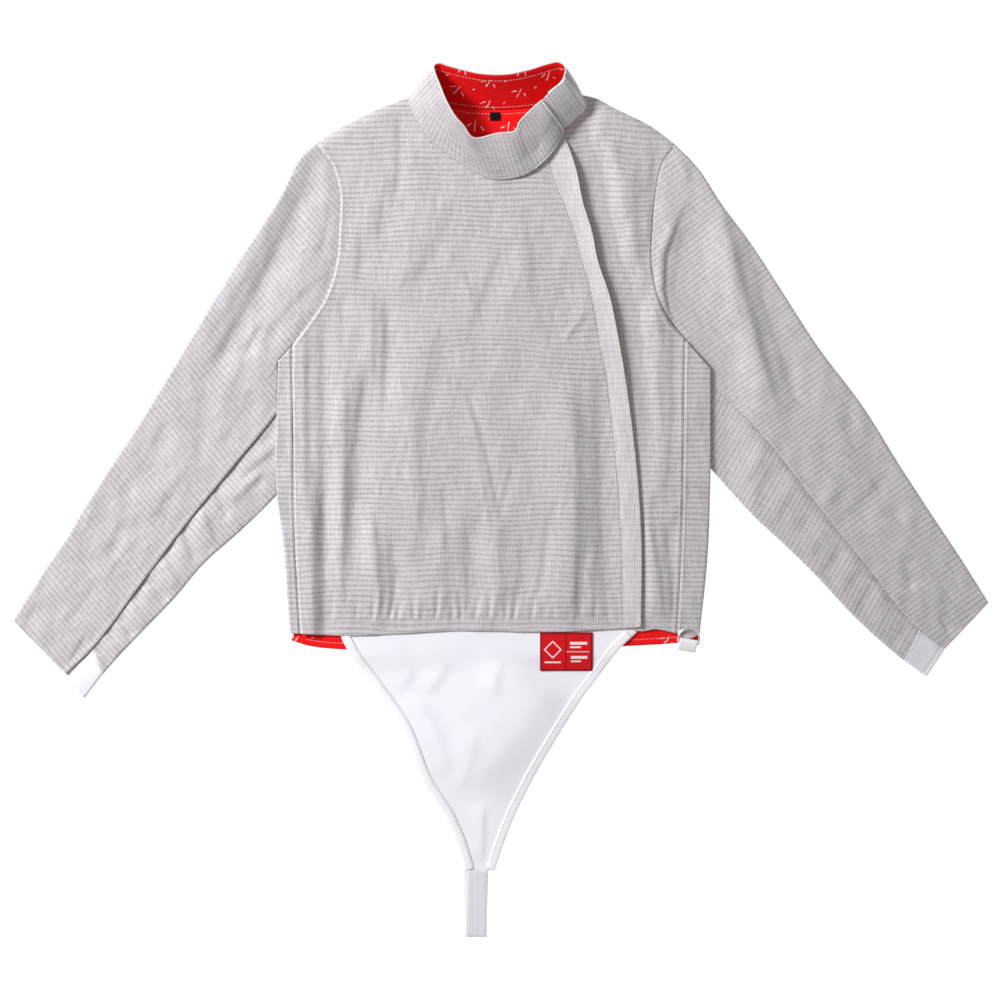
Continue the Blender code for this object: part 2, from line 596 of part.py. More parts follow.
def collar_surface(stations):
    """The middle surface of the collar and its outward directions at each station and level."""
    stations = np.array(stations, float)
    levels = np.array(COLLAR_LEVELS)[None, :, None]
    grid = stations[:, None, 3:] * (1.0 - levels) + stations[:, None, :3] * levels
    around = np.gradient(grid, axis=0)
    upward = np.gradient(grid, axis=1)
    outward = -np.cross(around, upward)
    outward /= np.linalg.norm(outward, axis=-1, keepdims=True)
    grid = grid + outward * COLLAR_BULGE * np.sin(math.pi * levels)
    return grid, outward


def make_collar(lame, lining):
    """The collar band, its lining and the closing tab, each from the same surface, moved out or in."""
    grid, outward = collar_surface(COLLAR)
    half = 0.5 * SEAM_GAP
    add_wall("collar", grid + outward * (half + LAME_WALL), grid + outward * half, lame)
    add_wall("collar_lining", grid - outward * half, grid - outward * (half + LINING_WALL), lining)
    over, out = collar_surface(COLLAR[-4:] + [TAB_START])
    first = half + LAME_WALL + SEAM_GAP
    hidden, shown = over[1], over[2]
    end = hidden + TAB_END_SHARE * (shown - hidden)
    rows = np.stack([end, over[2], 0.5 * (over[2] + over[3]), over[3], over[4]])
    ways = np.stack([out[2], out[2], out[3], out[3], out[4]])
    add_wall("collar_tab", rows + ways * (first + LAME_WALL), rows + ways * first, lame)


def make_linings(lining, black):
    """The red lining where it shows at the neck and inside the back hem, and the size tag."""
    level = LAME_WALL + SEAM_GAP + LINING_WALL
    share = np.linspace(0.0, 1.0, 8)
    top = at_x(BACK_NECK, -66.0 + share * 120.0) - (0.0, 1.2)
    bottom = np.stack([-52.0 + share * 92.0, np.full(8, 386.0)], axis=-1)
    side = np.linspace(0.0, 1.0, 4)[:, None]
    left = bottom[0] + side * (top[0] - bottom[0])
    right = bottom[-1] + side * (top[-1] - bottom[-1])
    wall_from_top("neck_lining", panel_plan(left, right, bottom, top), level, LINING_WALL, lining)

    hem_x = np.array([-228.6, -211.7, -197.4, -167.3, -90.0, -5.0, 70.0, 135.7, 192.0, 214.5])
    low = at_x(BACK_HEM, hem_x) + (0.0, 0.8)
    high = np.stack([np.interp(hem_x, (-228.6, 214.5), (-225.5, 211.0)), np.full(len(hem_x), -134.0)], axis=-1)
    side = np.linspace(0.0, 1.0, 3)[:, None]
    left = low[0] + side * (high[0] - low[0])
    right = low[-1] + side * (high[-1] - low[-1])
    wall_from_top("hem_lining", panel_plan(left, right, low, high), level, LINING_WALL, lining)

    tag = np.array([[(x, y) for x in SIZE_TAG_X] for y in SIZE_TAG_Y], float)
    wall_from_top("size_tag", tag, level + SEAM_GAP + 0.8, 0.8, black)


def bib_base(plan):
    """The underside of the bib: over the hem at the top, on the surface below, up again under its folds."""
    drop = smooth((BIB_DROP_START - plan[..., 1]) / (BIB_DROP_START - BIB_DROP_END))
    return BIB_LEVEL * (1.0 - drop) + drop * relief(BIB_FOLDS, plan)


def make_bib(white):
    """The bib, and the bindings that are made from its outer columns of points, moved up."""
    y = np.array(BIB_ROWS)
    left = at_y(BIB_EDGE_L, y)
    right = at_y(BIB_EDGE_R, y)
    band_l = BINDING_WIDTH * np.hypot(1.0, np.gradient(left[:, 0], y))
    band_r = BINDING_WIDTH * np.hypot(1.0, np.gradient(right[:, 0], y))
    middle = np.linspace(left[:, 0] + band_l, right[:, 0] - band_r, 8)
    columns = np.concatenate([left[None, :, 0], middle, right[None, :, 0]]).T
    rows = np.stack([columns, np.broadcast_to(y[:, None], columns.shape)], axis=-1)
    plan = np.concatenate([along(BIB_TOP, np.linspace(0.0, 1.0, columns.shape[1]))[None], rows])
    base = bib_base(plan)
    add_wall("crotch_bib", raised(plan, base + BIB_WALL), raised(plan, base), white)
    top = base + BIB_WALL + SEAM_GAP + LINING_WALL
    wall_from_top("bib_binding_l", plan[1:, :2], top[1:, :2], LINING_WALL, white)
    wall_from_top("bib_binding_r", plan[1:, -2:], top[1:, -2:], LINING_WALL, white)


def make_loop(elastic):
    """The elastic loop: one strip folded at its far end, whose upper layer lies a little to +X."""
    turn = ELASTIC_WALL + 0.5 * SEAM_GAP
    far = LOOP_TOP_Y - LOOP_LENGTH + turn
    path = [(LOOP_TOP_Y, -1.0), (0.5 * (LOOP_TOP_Y + far), -1.0), (far, -1.0), (far, 1.0),
            (0.5 * (LOOP_TOP_Y + far), 1.0), (LOOP_TOP_Y, 1.0)]
    outer = []
    inner = []

    def add_row(y, z, y_in, z_in, share):
        x = LOOP_X + LOOP_SHIFT * (share - 0.5)
        outer.append([(x - 0.5 * LOOP_WIDTH, y, z), (x + 0.5 * LOOP_WIDTH, y, z)])
        inner.append([(x - 0.5 * LOOP_WIDTH, y_in, z_in), (x + 0.5 * LOOP_WIDTH, y_in, z_in)])

    gap = 0.5 * SEAM_GAP
    for index, (y, level) in enumerate(path[:3]):
        add_row(y, turn + level * turn, y, turn + level * gap, 0.1 * index)
    for angle in (-45.0, 0.0, 45.0):
        cosine = math.cos(math.radians(angle))
        sine = math.sin(math.radians(angle))
        add_row(far - turn * cosine, turn + turn * sine, far - gap * cosine, turn + gap * sine, 0.5 + angle / 450.0)
    for index, (y, level) in enumerate(path[3:]):
        add_row(y, turn + level * turn, y, turn + level * gap, 0.8 + 0.1 * index)
    add_wall("strap_loop", np.array(outer), np.array(inner), elastic)


def make_label(red):
    """The sewn label, which lies on the top of the bib."""
    xs = np.linspace(*LABEL_X, 4)
    ys = np.array([LABEL_Y[1]] + [y for y in BIB_ROWS if LABEL_Y[0] <= y < LABEL_Y[1]])
    plan = np.stack(np.meshgrid(xs, ys), axis=-1)
    top = bib_base(plan) + BIB_WALL + SEAM_GAP + LINING_WALL
    wall_from_top("label", plan, top, LINING_WALL, red)


def ring_frame(points):
    """Points given along the bar, away from it and up, placed on the jacket."""
    turn = math.radians(RING_TURN)
    points = np.array(points, float)
    x = points[..., 0] * math.cos(turn) - points[..., 1] * math.sin(turn)
    y = points[..., 0] * math.sin(turn) + points[..., 1] * math.cos(turn)
    return np.stack([x, y, points[..., 2]], axis=-1) + np.array(RING_BAR)


def make_ring_tab(white):
    """The fabric loop, folded round the bar of the ring and laid over the edge of the back hem."""
    outside = TAB_LOOP_BORE + TAB_LOOP_WALL
    turns = np.radians((-60.0, -30.0, 0.0, 30.0, 60.0, 90.0))
    outer = [(-TAB_LOOP_LENGTH, -5.4), (-7.0, -4.6), (-2.0, -outside), (0.0, -outside)]
    inner = [(-TAB_LOOP_LENGTH, -4.5), (-7.0, -3.7), (-2.0, -TAB_LOOP_BORE), (0.0, -TAB_LOOP_BORE)]
    outer += [(outside * math.cos(a), outside * math.sin(a)) for a in turns]
    inner += [(TAB_LOOP_BORE * math.cos(a), TAB_LOOP_BORE * math.sin(a)) for a in turns]
    outer += [(-4.0, 1.6), (-8.0, -1.2), (-TAB_LOOP_LENGTH, -3.3)]
    inner += [(-4.0, 0.7), (-8.0, -2.1), (-TAB_LOOP_LENGTH, -4.2)]
    half = 0.5 * TAB_LOOP_WIDTH

    def swept(section):
        return ring_frame([[(x, y, z) for x in (-half, half)] for y, z in section])

    add_wall("ring_tab", swept(outer), swept(inner), white)


def make_ring(chrome):
    """The D-ring, a bent wire whose bar lies in the fabric loop, at rest on the hem."""
    reach = RING_HALF_WIDTH - RING_CORNER
    arc_y = RING_HEIGHT - RING_HALF_WIDTH
    path = [(x, 0.0) for x in (-reach, -3.0, 3.0, reach)]
    for angle in (-60.0, -30.0, 0.0):
        turn = math.radians(angle)
        path.append((reach + RING_CORNER * math.cos(turn), RING_CORNER + RING_CORNER * math.sin(turn)))
    for angle in np.linspace(0.0, 180.0, 11):
        turn = math.radians(angle)
        path.append((RING_HALF_WIDTH * math.cos(turn), arc_y + RING_HALF_WIDTH * math.sin(turn)))
    for angle in (180.0, 210.0, 240.0):
        turn = math.radians(angle)
        path.append((-reach + RING_CORNER * math.cos(turn), RING_CORNER + RING_CORNER * math.sin(turn)))
    path = np.array(path)
    ahead = np.roll(path, -1, axis=0) - np.roll(path, 1, axis=0)
    ahead /= np.linalg.norm(ahead, axis=-1, keepdims=True)
    tilt = math.radians(RING_TILT)
    sides = 8
    points = []
    for (x, y), (dx, dy) in zip(path, ahead):
        for side in range(sides):
            angle = 2.0 * math.pi * side / sides
            flat = 0.5 * RING_WIRE * math.cos(angle)
            lift = 0.5 * RING_WIRE * math.sin(angle)
            along_bar = x - dy * flat
            away = y + dx * flat
            points.append((along_bar, away * math.cos(tilt) - lift * math.sin(tilt),
                           away * math.sin(tilt) + lift * math.cos(tilt)))
    faces = []
    count = len(path)
    for ring in range(count):
        for side in range(sides):
            a = ring * sides + side
            b = ring * sides + (side + 1) % sides
            c = ((ring + 1) % count) * sides + (side + 1) % sides
            d = ((ring + 1) % count) * sides + side
            faces.append((a, b, c))
            faces.append((a, c, d))
    add_object("d_ring", ring_frame(points), faces, chrome, origin=RING_BAR)


def main():
    for piece in list(bpy.data.objects):
        bpy.data.objects.remove(piece)
    lame = finish("lame cloth", LAME, 0.55, 0.35)
    lining = finish("red lining", RED, 0.7, 0.0)
    elastic = finish("white elastic", WHITE, 0.7, 0.0)
    white = finish("white cloth", WHITE, 0.45, 0.0)
    black = finish("black tag", BLACK, 0.6, 0.0)
    chrome = finish("chromed wire", CHROME, 0.2, 1.0)
    make_back(lame)
    make_front(lame)
    make_flap(lame)
    make_side_front(lame)
    make_side_panel("side_panel_l", SIDE_FOLD_L, SIDE_SEAM_L, HEM_HEIGHT_L, lame)
    make_side_panel("side_panel_r", SIDE_FOLD_R, SIDE_SEAM_R, HEM_HEIGHT_R, lame)
    make_sleeve("l", -1, OUTER_EDGE_L, FRONT_SEAM_L, LOWER_EDGE_L, ARMHOLE_L, SLEEVE_FOLDS_L, UNDER_END_L,
                lame, elastic)
    make_sleeve("r", 1, OUTER_EDGE_R, FRONT_SEAM_R, LOWER_EDGE_R, ARMHOLE_R, SLEEVE_FOLDS_R, UNDER_END_R,
                lame, elastic)
    make_collar(lame, lining)
    make_linings(lining, black)
    make_bib(white)
    make_loop(elastic)
    make_label(lining)
    make_ring_tab(white)
    make_ring(chrome)


main()
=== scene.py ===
"""An electric fencing jacket laid flat on its back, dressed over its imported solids.

Tables are millimetres in the frame of the solids: X from sleeve to sleeve, Y towards the collar, Z up from
the surface that the jacket lies on. Pieces ending in _l lie at -X, in _r at +X.
"""

import math

import bpy
import numpy as np
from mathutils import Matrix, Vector
from mathutils.bvhtree import BVHTree


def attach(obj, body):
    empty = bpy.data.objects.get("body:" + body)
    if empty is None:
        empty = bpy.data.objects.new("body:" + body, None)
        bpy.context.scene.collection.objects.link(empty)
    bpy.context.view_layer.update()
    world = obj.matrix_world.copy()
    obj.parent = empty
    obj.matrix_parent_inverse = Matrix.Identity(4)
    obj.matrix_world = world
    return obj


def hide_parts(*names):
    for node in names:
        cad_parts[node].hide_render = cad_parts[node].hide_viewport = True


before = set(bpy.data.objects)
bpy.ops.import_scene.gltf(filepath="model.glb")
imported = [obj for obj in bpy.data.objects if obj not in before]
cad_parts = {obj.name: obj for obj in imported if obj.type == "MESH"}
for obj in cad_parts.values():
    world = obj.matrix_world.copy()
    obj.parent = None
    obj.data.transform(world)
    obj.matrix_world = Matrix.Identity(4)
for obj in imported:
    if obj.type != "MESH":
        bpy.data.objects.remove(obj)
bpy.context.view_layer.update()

# The view: the jacket is laid out on a table and photographed from straight above, with a long lens. The
# lens is worked out from the width that the picture takes in.
MM = 0.001
SEEN_WIDTH = 1100.0 * MM
VIEW_CENTRE = (-0.5 * MM, 1.1 * MM)
CAMERA_HEIGHT = 4.0
CLOTH_LEVEL = 6.0 * MM
SENSOR_WIDTH = 36.0

camera_data = bpy.data.cameras.new("camera")
camera_data.sensor_width = SENSOR_WIDTH
camera_data.lens = SENSOR_WIDTH * (CAMERA_HEIGHT - CLOTH_LEVEL) / SEEN_WIDTH
camera = bpy.data.objects.new("camera", camera_data)
camera.location = (*VIEW_CENTRE, CAMERA_HEIGHT)
bpy.context.scene.collection.objects.link(camera)
bpy.context.scene.camera = camera
bpy.context.scene.view_settings.view_transform = "Standard"

# The studio: a white table under a large soft lamp at the upper left, with even light from all round. The
# table glows a little, so that it stays white.
AMBIENT = 0.38
KEY_PLACE = (-2.1, 1.15, 1.7)
KEY_SIZE = 0.7
KEY_POWER = 104.0
FLOOR_SIZE = 8000.0
FLOOR_DROP = 0.4 * MM
FLOOR_GLOW = 0.72


def add_node(tree, kind, settings=None, **inputs):
    """A shader node. Its inputs are plain values, or the outputs that feed them; _0 is the first socket."""
    node = tree.nodes.new("ShaderNode" + kind)
    for key, value in (settings or {}).items():
        setattr(node, key, value)
    for key, value in inputs.items():
        socket = node.inputs[int(key[1:])] if key[0] == "_" else node.inputs[key.replace("_", " ")]
        if isinstance(value, bpy.types.NodeSocket):
            tree.links.new(value, socket)
        else:
            socket.default_value = value
    return node.outputs[0]


def mesh_object(name, points, faces, *materials):
    """A smooth mesh object from points in millimetres."""
    mesh = bpy.data.meshes.new(name)
    mesh.from_pydata((np.array(points) * MM).tolist(), [], faces)
    for material in materials:
        mesh.materials.append(material)
    mesh.shade_smooth()
    made = bpy.data.objects.new(name, mesh)
    bpy.context.scene.collection.objects.link(made)
    return made


def new_material(name, **shader_values):
    """A material whose plain values sit on the shader's own sockets."""
    material = bpy.data.materials.new(name)
    material.use_nodes = True
    shader = material.node_tree.nodes["Principled BSDF"]
    for key, value in shader_values.items():
        shader.inputs[key.replace("_", " ")].default_value = value
    return material, material.node_tree, shader


world = bpy.data.worlds.new("studio")
world.use_nodes = True
world.node_tree.nodes["Background"].inputs["Color"].default_value = (1.0, 1.0, 1.0, 1.0)
world.node_tree.nodes["Background"].inputs["Strength"].default_value = AMBIENT
bpy.context.scene.world = world

lamp_data = bpy.data.lights.new("key lamp", "AREA")
lamp_data.energy = KEY_POWER
lamp_data.size = KEY_SIZE
lamp = bpy.data.objects.new("key lamp", lamp_data)
lamp.location = KEY_PLACE
lamp.rotation_euler = (-Vector(KEY_PLACE)).to_track_quat("-Z", "Y").to_euler()
bpy.context.scene.collection.objects.link(lamp)

table_white, _, _ = new_material(
    "table white", Base_Color=(0.85, 0.85, 0.86, 1.0), Roughness=0.9,
    Emission_Color=(1.0, 1.0, 1.0, 1.0), Emission_Strength=FLOOR_GLOW)
floor_edge = 0.5 * FLOOR_SIZE
floor_corners = [(-floor_edge, -floor_edge, 0.0), (floor_edge, -floor_edge, 0.0),
                 (floor_edge, floor_edge, 0.0), (-floor_edge, floor_edge, 0.0)]
floor = mesh_object("floor", floor_corners, [(0, 1, 2, 3)], table_white)
floor.location.z = -FLOOR_DROP

# The back: one wide panel of metal-faced lame cloth with a red lining sewn inside it. It lies flat on the
# table, and its hem is longer than the front's.
LAME_WALL = 1.3
SEAM_INSET = 0.4
EDGE_INSET = 0.7
RIM_TURNS = (45.0, 90.0, 135.0)
SHOULDER_L = [
    (-202.9, 393.8), (-177.6, 410.3), (-157.8, 420.2), (-135.1, 431.2), (-110.5, 441.1), (-97.3, 446.9),
]
BACK_NECK = [
    (-97.3, 446.9), (-70.0, 436.5), (-45.0, 432.0), (-18.0, 429.5), (8.0, 429.5), (33.0, 431.5),
    (62.0, 437.0), (86.1, 447.7),
]
SHOULDER_R = [(86.1, 447.7), (105.1, 443.3), (123.8, 433.4), (144.7, 423.5), (165.6, 412.5), (192.0, 392.7)]
ARMHOLE_L = [
    (-229.3, 171.0), (-210.6, 195.8), (-194.1, 221.1), (-180.5, 262.0), (-177.4, 299.2), (-177.6, 345.0),
    (-185.3, 369.6), (-202.9, 393.8),
]
ARMHOLE_R = [
    (202.9, 178.0), (187.0, 195.8), (176.6, 216.0), (167.3, 255.0), (167.8, 300.0), (171.0, 336.0),
    (178.5, 371.0), (192.0, 392.7),
]
SIDE_SEAM_L = [(-220.1, -146.0), (-226.1, -43.0), (-229.3, 171.0)]
SIDE_SEAM_R = [(194.1, -146.0), (197.5, -87.0), (202.9, 178.0)]
BACK_HEM = [
    (-230.4, -154.0), (-211.7, -159.5), (-197.4, -161.7), (-167.3, -163.9), (-5.0, -165.0), (135.7, -160.1),
    (192.0, -156.8), (220.0, -154.0),
]
HEM_CORNER_L = (-229.5, -149.5)
HEM_CORNER_R = (219.0, -149.5)
HEM_NOTCH_L = (-221.5, -147.0)
HEM_NOTCH_R = (195.5, -147.0)
TUCK_LIFT = 4.0
TUCK_SPAN_L = (-22.0, 197.0)
TUCK_SPAN_R = (2.0, 204.0)
TUCK_FADE = 25.0
BACK_LIFT = 0.12
FOLD_LEAN = 0.42
LEAN_WAY = (0.9, -0.45)
TUCK_EDGES = (-202.0, 176.0)
TUCK_SLOPE = 26.0
# Printed strokes in each cell of the lining's layout: shift, slant in degrees, length, width
PRINT_CELL = (34.0, 29.0)
LONG_STROKE = ((4.0, 8.0), 62.0, 12.0, 1.1)
SHORT_STROKES = [((9.5, 6.0), 20.0, 6.5, 1.0), ((-2.5, 12.5), 118.0, 5.0, 1.0),
                 ((20.0, 20.0), 35.0, 3.0, 1.0)]
# Creases pressed into the underside: start x, y, end x, y, bow, width, height
BACK_CREASES = [
    (-150, -90, -170, 120, 6, 9, 0.7), (-60, -120, -48, 60, -4, 10, 0.8), (40, -100, 62, 90, 5, 9, 0.7),
    (130, -110, 118, 60, 3, 8, 0.6), (-150, 300, -60, 250, 10, 12, 0.7), (140, 290, 60, 250, -9, 12, 0.7),
    (-20, 330, 10, 180, 4, 12, 0.6),
]


def curve(points, steps=8):
    """A smooth line through the points, with a number of steps in each stretch."""
    points = np.array(points, float)
    gaps = np.linalg.norm(np.diff(points, axis=0), axis=1)[:, None]
    slopes = np.diff(points, axis=0) / gaps
    inner = (slopes[:-1] * gaps[1:] + slopes[1:] * gaps[:-1]) / (gaps[:-1] + gaps[1:])
    tangents = np.vstack([slopes[:1], inner, slopes[-1:]])
    t = (np.arange(steps) / steps)[:, None]
    parts = []
    for i, gap in enumerate(gaps):
        parts.append((2 * t**3 - 3 * t**2 + 1) * points[i] + (t**3 - 2 * t**2 + t) * gap * tangents[i]
                     + (3 * t**2 - 2 * t**3) * points[i + 1] + (t**3 - t**2) * gap * tangents[i + 1])
    return np.vstack(parts + [points[-1:]])


def along(line, share):
    """Points at the given shares of a line's length."""
    line = np.array(line, float)
    own = np.concatenate([[0.0], np.cumsum(np.linalg.norm(np.diff(line, axis=0), axis=1))])
    own /= own[-1]
    return np.stack([np.interp(share, own, line[:, axis]) for axis in range(line.shape[1])], axis=-1)


def fill(left, right, bottom, top, rows, columns):
    """A grid of plan points between four edges. rows and columns are counts, or shares of the edges."""
    rows, columns = (np.linspace(0.0, 1.0, n) if isinstance(n, int) else n for n in (rows, columns))
    v = np.array(rows)[:, None, None]
    u = np.array(columns)[None, :, None]
    low, high = along(bottom, columns), along(top, columns)
    near, far = along(left, rows), along(right, rows)
    corners = (1 - u) * (1 - v) * low[0] + u * (1 - v) * low[-1] + (1 - u) * v * high[0] + u * v * high[-1]
    return (1 - u) * near[:, None] + u * far[:, None] + (1 - v) * low[None] + v * high[None] - corners


def inset(plan, left=SEAM_INSET, right=SEAM_INSET, bottom=EDGE_INSET, top=EDGE_INSET):
    """The grid with its edges drawn in, which leaves room for the rounded edge of the cloth."""
    plan = plan.copy()

    def draw(edge, inside, distance):
        away = inside - edge
        return edge + away * distance / np.maximum(np.linalg.norm(away, axis=-1, keepdims=True), 1e-6)

    plan[:, 0] = draw(plan[:, 0], plan[:, 1], left)
    plan[:, -1] = draw(plan[:, -1], plan[:, -2], right)
    plan[0] = draw(plan[0], plan[1], bottom)
    plan[-1] = draw(plan[-1], plan[-2], top)
    return plan


def soft_step(value):
    """A smooth step from 0 to 1."""
    value = np.clip(value, 0.0, 1.0)
    return value * value * (3.0 - 2.0 * value)


def creases(table, plan):
    """The heights that soft ridges and troughs add: each is bowed, leans over, and fades at its ends."""
    height = np.zeros(plan.shape[:-1])
    for x0, y0, x1, y1, bow, width, depth in table:
        start = np.array((x0, y0), float)
        run = np.array((x1, y1), float) - start
        length = math.hypot(*run)
        share = (plan - start) @ run / length**2
        offset = (plan - start) @ np.array((-run[1], run[0])) / length - bow * 4.0 * share * (1.0 - share)
        fade = soft_step((share + 0.1) / 0.3) * soft_step((1.1 - share) / 0.3)
        leaning = np.sign((run[0] * LEAN_WAY[1] - run[1] * LEAN_WAY[0]) * offset * depth)
        reach = width * (1.0 - FOLD_LEAN * leaning)
        height += depth * fade * np.exp(-((offset / reach) ** 2))
    return height


def crumple(plan, seed, size, depth, stretch=1.0):
    """Small uneven waves, longer along Y by the given stretch."""
    random = np.random.default_rng(seed)
    height = np.zeros(plan.shape[:-1])
    for _ in range(16):
        way = random.uniform(0.0, math.pi)
        wave = 2.0 * math.pi / (size * random.uniform(0.7, 1.8))
        x = plan[..., 0] * math.cos(way) * wave
        y = plan[..., 1] * math.sin(way) * wave / stretch
        height += np.sin(x + y + random.uniform(0.0, 6.3))
    return height * depth / 4.0


def grain(plan, degrees):
    """Coordinates along and across the cross threads, in millimetres."""
    turn = math.radians(degrees)
    return np.stack([plan[..., 0] * math.cos(turn) + plan[..., 1] * math.sin(turn),
                     plan[..., 1] * math.cos(turn) - plan[..., 0] * math.sin(turn)], axis=-1)


def raised(plan, height):
    """Plan points at a height."""
    return np.concatenate([plan, np.broadcast_to(height, plan.shape[:-1])[..., None]], axis=-1)


surfaces = {}


def cloth(name, outer, inner, weave, face, back=None):
    """A closed cloth wall between two grids of points, with rounded edges: face outside, back inside."""
    rows, columns = outer.shape[:2]
    count = rows * columns
    index = np.arange(count).reshape(rows, columns)
    quads = np.stack([index[:-1, :-1], index[:-1, 1:], index[1:, 1:], index[1:, :-1]], axis=-1).reshape(-1, 4)
    edge = np.concatenate([index[0, :-1], index[:-1, -1], index[-1, :0:-1], index[:0:-1, 0]])
    r, c = np.divmod(edge, columns)
    inside = np.clip(r, 1, rows - 2) * columns + np.clip(c, 1, columns - 2)
    outer, inner = outer.reshape(-1, 3), inner.reshape(-1, 3)
    middle = 0.5 * (outer[edge] + inner[edge])
    across = 0.5 * (outer[edge] - inner[edge])
    away = middle - 0.5 * (outer[inside] + inner[inside])
    away -= across * (np.sum(away * across, axis=1) / np.sum(across**2, axis=1))[:, None]
    away *= (np.linalg.norm(across, axis=1) / np.linalg.norm(away, axis=1))[:, None]
    turns = [math.radians(degrees) for degrees in RIM_TURNS]
    rings = [middle + across * math.cos(turn) + away * math.sin(turn) for turn in turns]
    points = np.concatenate([outer, inner, *rings])
    loops = [2 * count + k * len(edge) + np.arange(len(edge)) for k in range(len(rings))]
    loops = [edge, *loops, count + edge]
    rims = []
    for low, high in zip(loops[:-1], loops[1:]):
        rims.append(np.stack([low, high, np.roll(high, -1), np.roll(low, -1)], axis=-1))
    faces = np.concatenate([quads, quads[:, ::-1] + count, *rims])
    a, b, c, d = (outer[quads[:, k]] for k in range(4))
    facing = np.sum(np.cross(c - a, d - b) * (outer - inner)[quads[:, 0]])
    if facing < 0.0:
        faces = faces[:, ::-1]
    piece = mesh_object(name, points, faces.tolist(), face, back or face)
    mesh = piece.data
    lined = np.zeros(len(faces), np.int32)
    lined[len(quads):2 * len(quads)] = 1
    mesh.polygons.foreach_set("material_index", lined)
    threads = np.concatenate([weave.reshape(-1, 2)] * 2 + [weave.reshape(-1, 2)[edge]] * len(rings))
    corners = np.zeros(len(mesh.loops), np.int32)
    mesh.loops.foreach_get("vertex_index", corners)
    threads = (threads[corners] * MM).astype(np.float32)
    mesh.uv_layers.new(name="weave").uv.foreach_set("vector", threads.ravel())
    surfaces[name] = BVHTree.FromPolygons(points.tolist(), faces.tolist())
    return piece


def sew_on(piece, nodes=(), body="jacket"):
    """The piece rides on the jacket and stands for its solids, which are hidden."""
    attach(piece, body)
    if nodes:
        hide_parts(*nodes)


def maths(operation, *values):
    """The output of a maths node, in the tree of the outputs that feed it."""
    tree = next(value.id_data for value in values if isinstance(value, bpy.types.NodeSocket))
    sockets = {"_%d" % place: value for place, value in enumerate(values)}
    return add_node(tree, "Math", {"operation": operation}, **sockets)


def ramp(value, low, high, out_low=0.0, out_high=1.0):
    """A value spread smoothly from one range to another."""
    return add_node(value.id_data, "MapRange", {"interpolation_type": "SMOOTHSTEP"}, Value=value,
                    From_Min=low, From_Max=high, To_Min=out_low, To_Max=out_high)


def mix_colour(share, first, second):
    """Two colours mixed by a share."""
    tree = share.id_data
    node = tree.nodes.new("ShaderNodeMix")
    node.data_type = "RGBA"
    for socket, value in ((node.inputs[0], share), (node.inputs[6], first), (node.inputs[7], second)):
        if isinstance(value, bpy.types.NodeSocket):
            tree.links.new(value, socket)
        else:
            socket.default_value = (*value, 1.0)
    return node.outputs[2]


def thread_places(tree):
    """Along and across the cross threads in millimetres, from the cloth's own coordinates."""
    places = add_node(tree, "UVMap", {"uv_map": "weave"})
    parts = tree.nodes.new("ShaderNodeSeparateXYZ")
    tree.links.new(places, parts.inputs[0])
    return maths("MULTIPLY", parts.outputs[0], 1.0 / MM), maths("MULTIPLY", parts.outputs[1], 1.0 / MM)


def streaks(u, v, wide, long, detail=2.0):
    """Noise drawn out to streaks of the given size in millimetres."""
    place = add_node(u.id_data, "CombineXYZ", None, _0=maths("DIVIDE", u, wide), _1=maths("DIVIDE", v, long))
    return add_node(u.id_data, "TexNoise", None, Vector=place, Scale=1.0, Detail=detail)


def dress(shader, colour, relief, strength, depth):
    """Feeds a colour and a fine relief, its depth in millimetres, to a shader."""
    tree = shader.id_data
    bump = add_node(tree, "Bump", None, Strength=strength, Distance=depth * MM, Height=relief)
    tree.links.new(bump, shader.inputs["Normal"])
    tree.links.new(colour, shader.inputs["Base Color"])


def lame_cloth(name, colour, pitch, lines=1.0):
    """Woven metal-faced cloth: a dark broken cross thread at each pitch, and uneven slubs along it."""
    material, tree, shader = new_material(name, Roughness=0.6, Metallic=0.1, Specular_IOR_Level=0.3,
                                          Sheen_Weight=0.05)
    u, v = thread_places(tree)
    drift = ramp(streaks(u, v, 90.0, 30.0), 0.2, 0.8, -1.6, 1.6)
    row = maths("DIVIDE", maths("ADD", v, drift), pitch)
    beside = maths("ABSOLUTE", maths("SUBTRACT", maths("FRACT", row), 0.5))
    line = ramp(beside, 0.05, 0.30, 1.0, 0.0)
    own_row = maths("MULTIPLY", maths("FLOOR", row), 7.3)
    dashes = ramp(streaks(u, own_row, 2.6, 1.0, 3.0), 0.3, 0.6, 0.35, 1.0)
    patches = ramp(streaks(u, v, 60.0, 45.0), 0.3, 0.7, 0.65, 1.0)
    line = maths("MULTIPLY", maths("MULTIPLY", line, dashes), patches)
    slubs = streaks(u, v, 1.5, 24.0, 3.0)
    threads = streaks(u, v, 5.0, 1.0, 2.0)
    light = tuple(1.12 * part for part in colour)
    dark = tuple(0.85 * part for part in colour)
    body = mix_colour(ramp(slubs, 0.3, 0.7), dark, light)
    warm = (colour[0] * 1.0, colour[1] * 0.99, colour[2] * 0.90)
    tint = ramp(streaks(u, v, 30.0, 60.0), 0.42, 0.7, 0.0, 0.55)
    body = mix_colour(tint, body, warm)
    across = ramp(threads, 0.3, 0.7, 0.0, 0.4)
    body = mix_colour(across, body, dark)
    line_colour = (0.46 * colour[0], 0.44 * colour[1], 0.47 * colour[2])
    shade = maths("MULTIPLY", line, 0.66 * lines)
    relief = maths("MULTIPLY_ADD", line, -0.3, maths("MULTIPLY_ADD", slubs, 0.9, threads))
    dress(shader, mix_colour(shade, body, line_colour), relief, 0.55, 0.35)
    return material


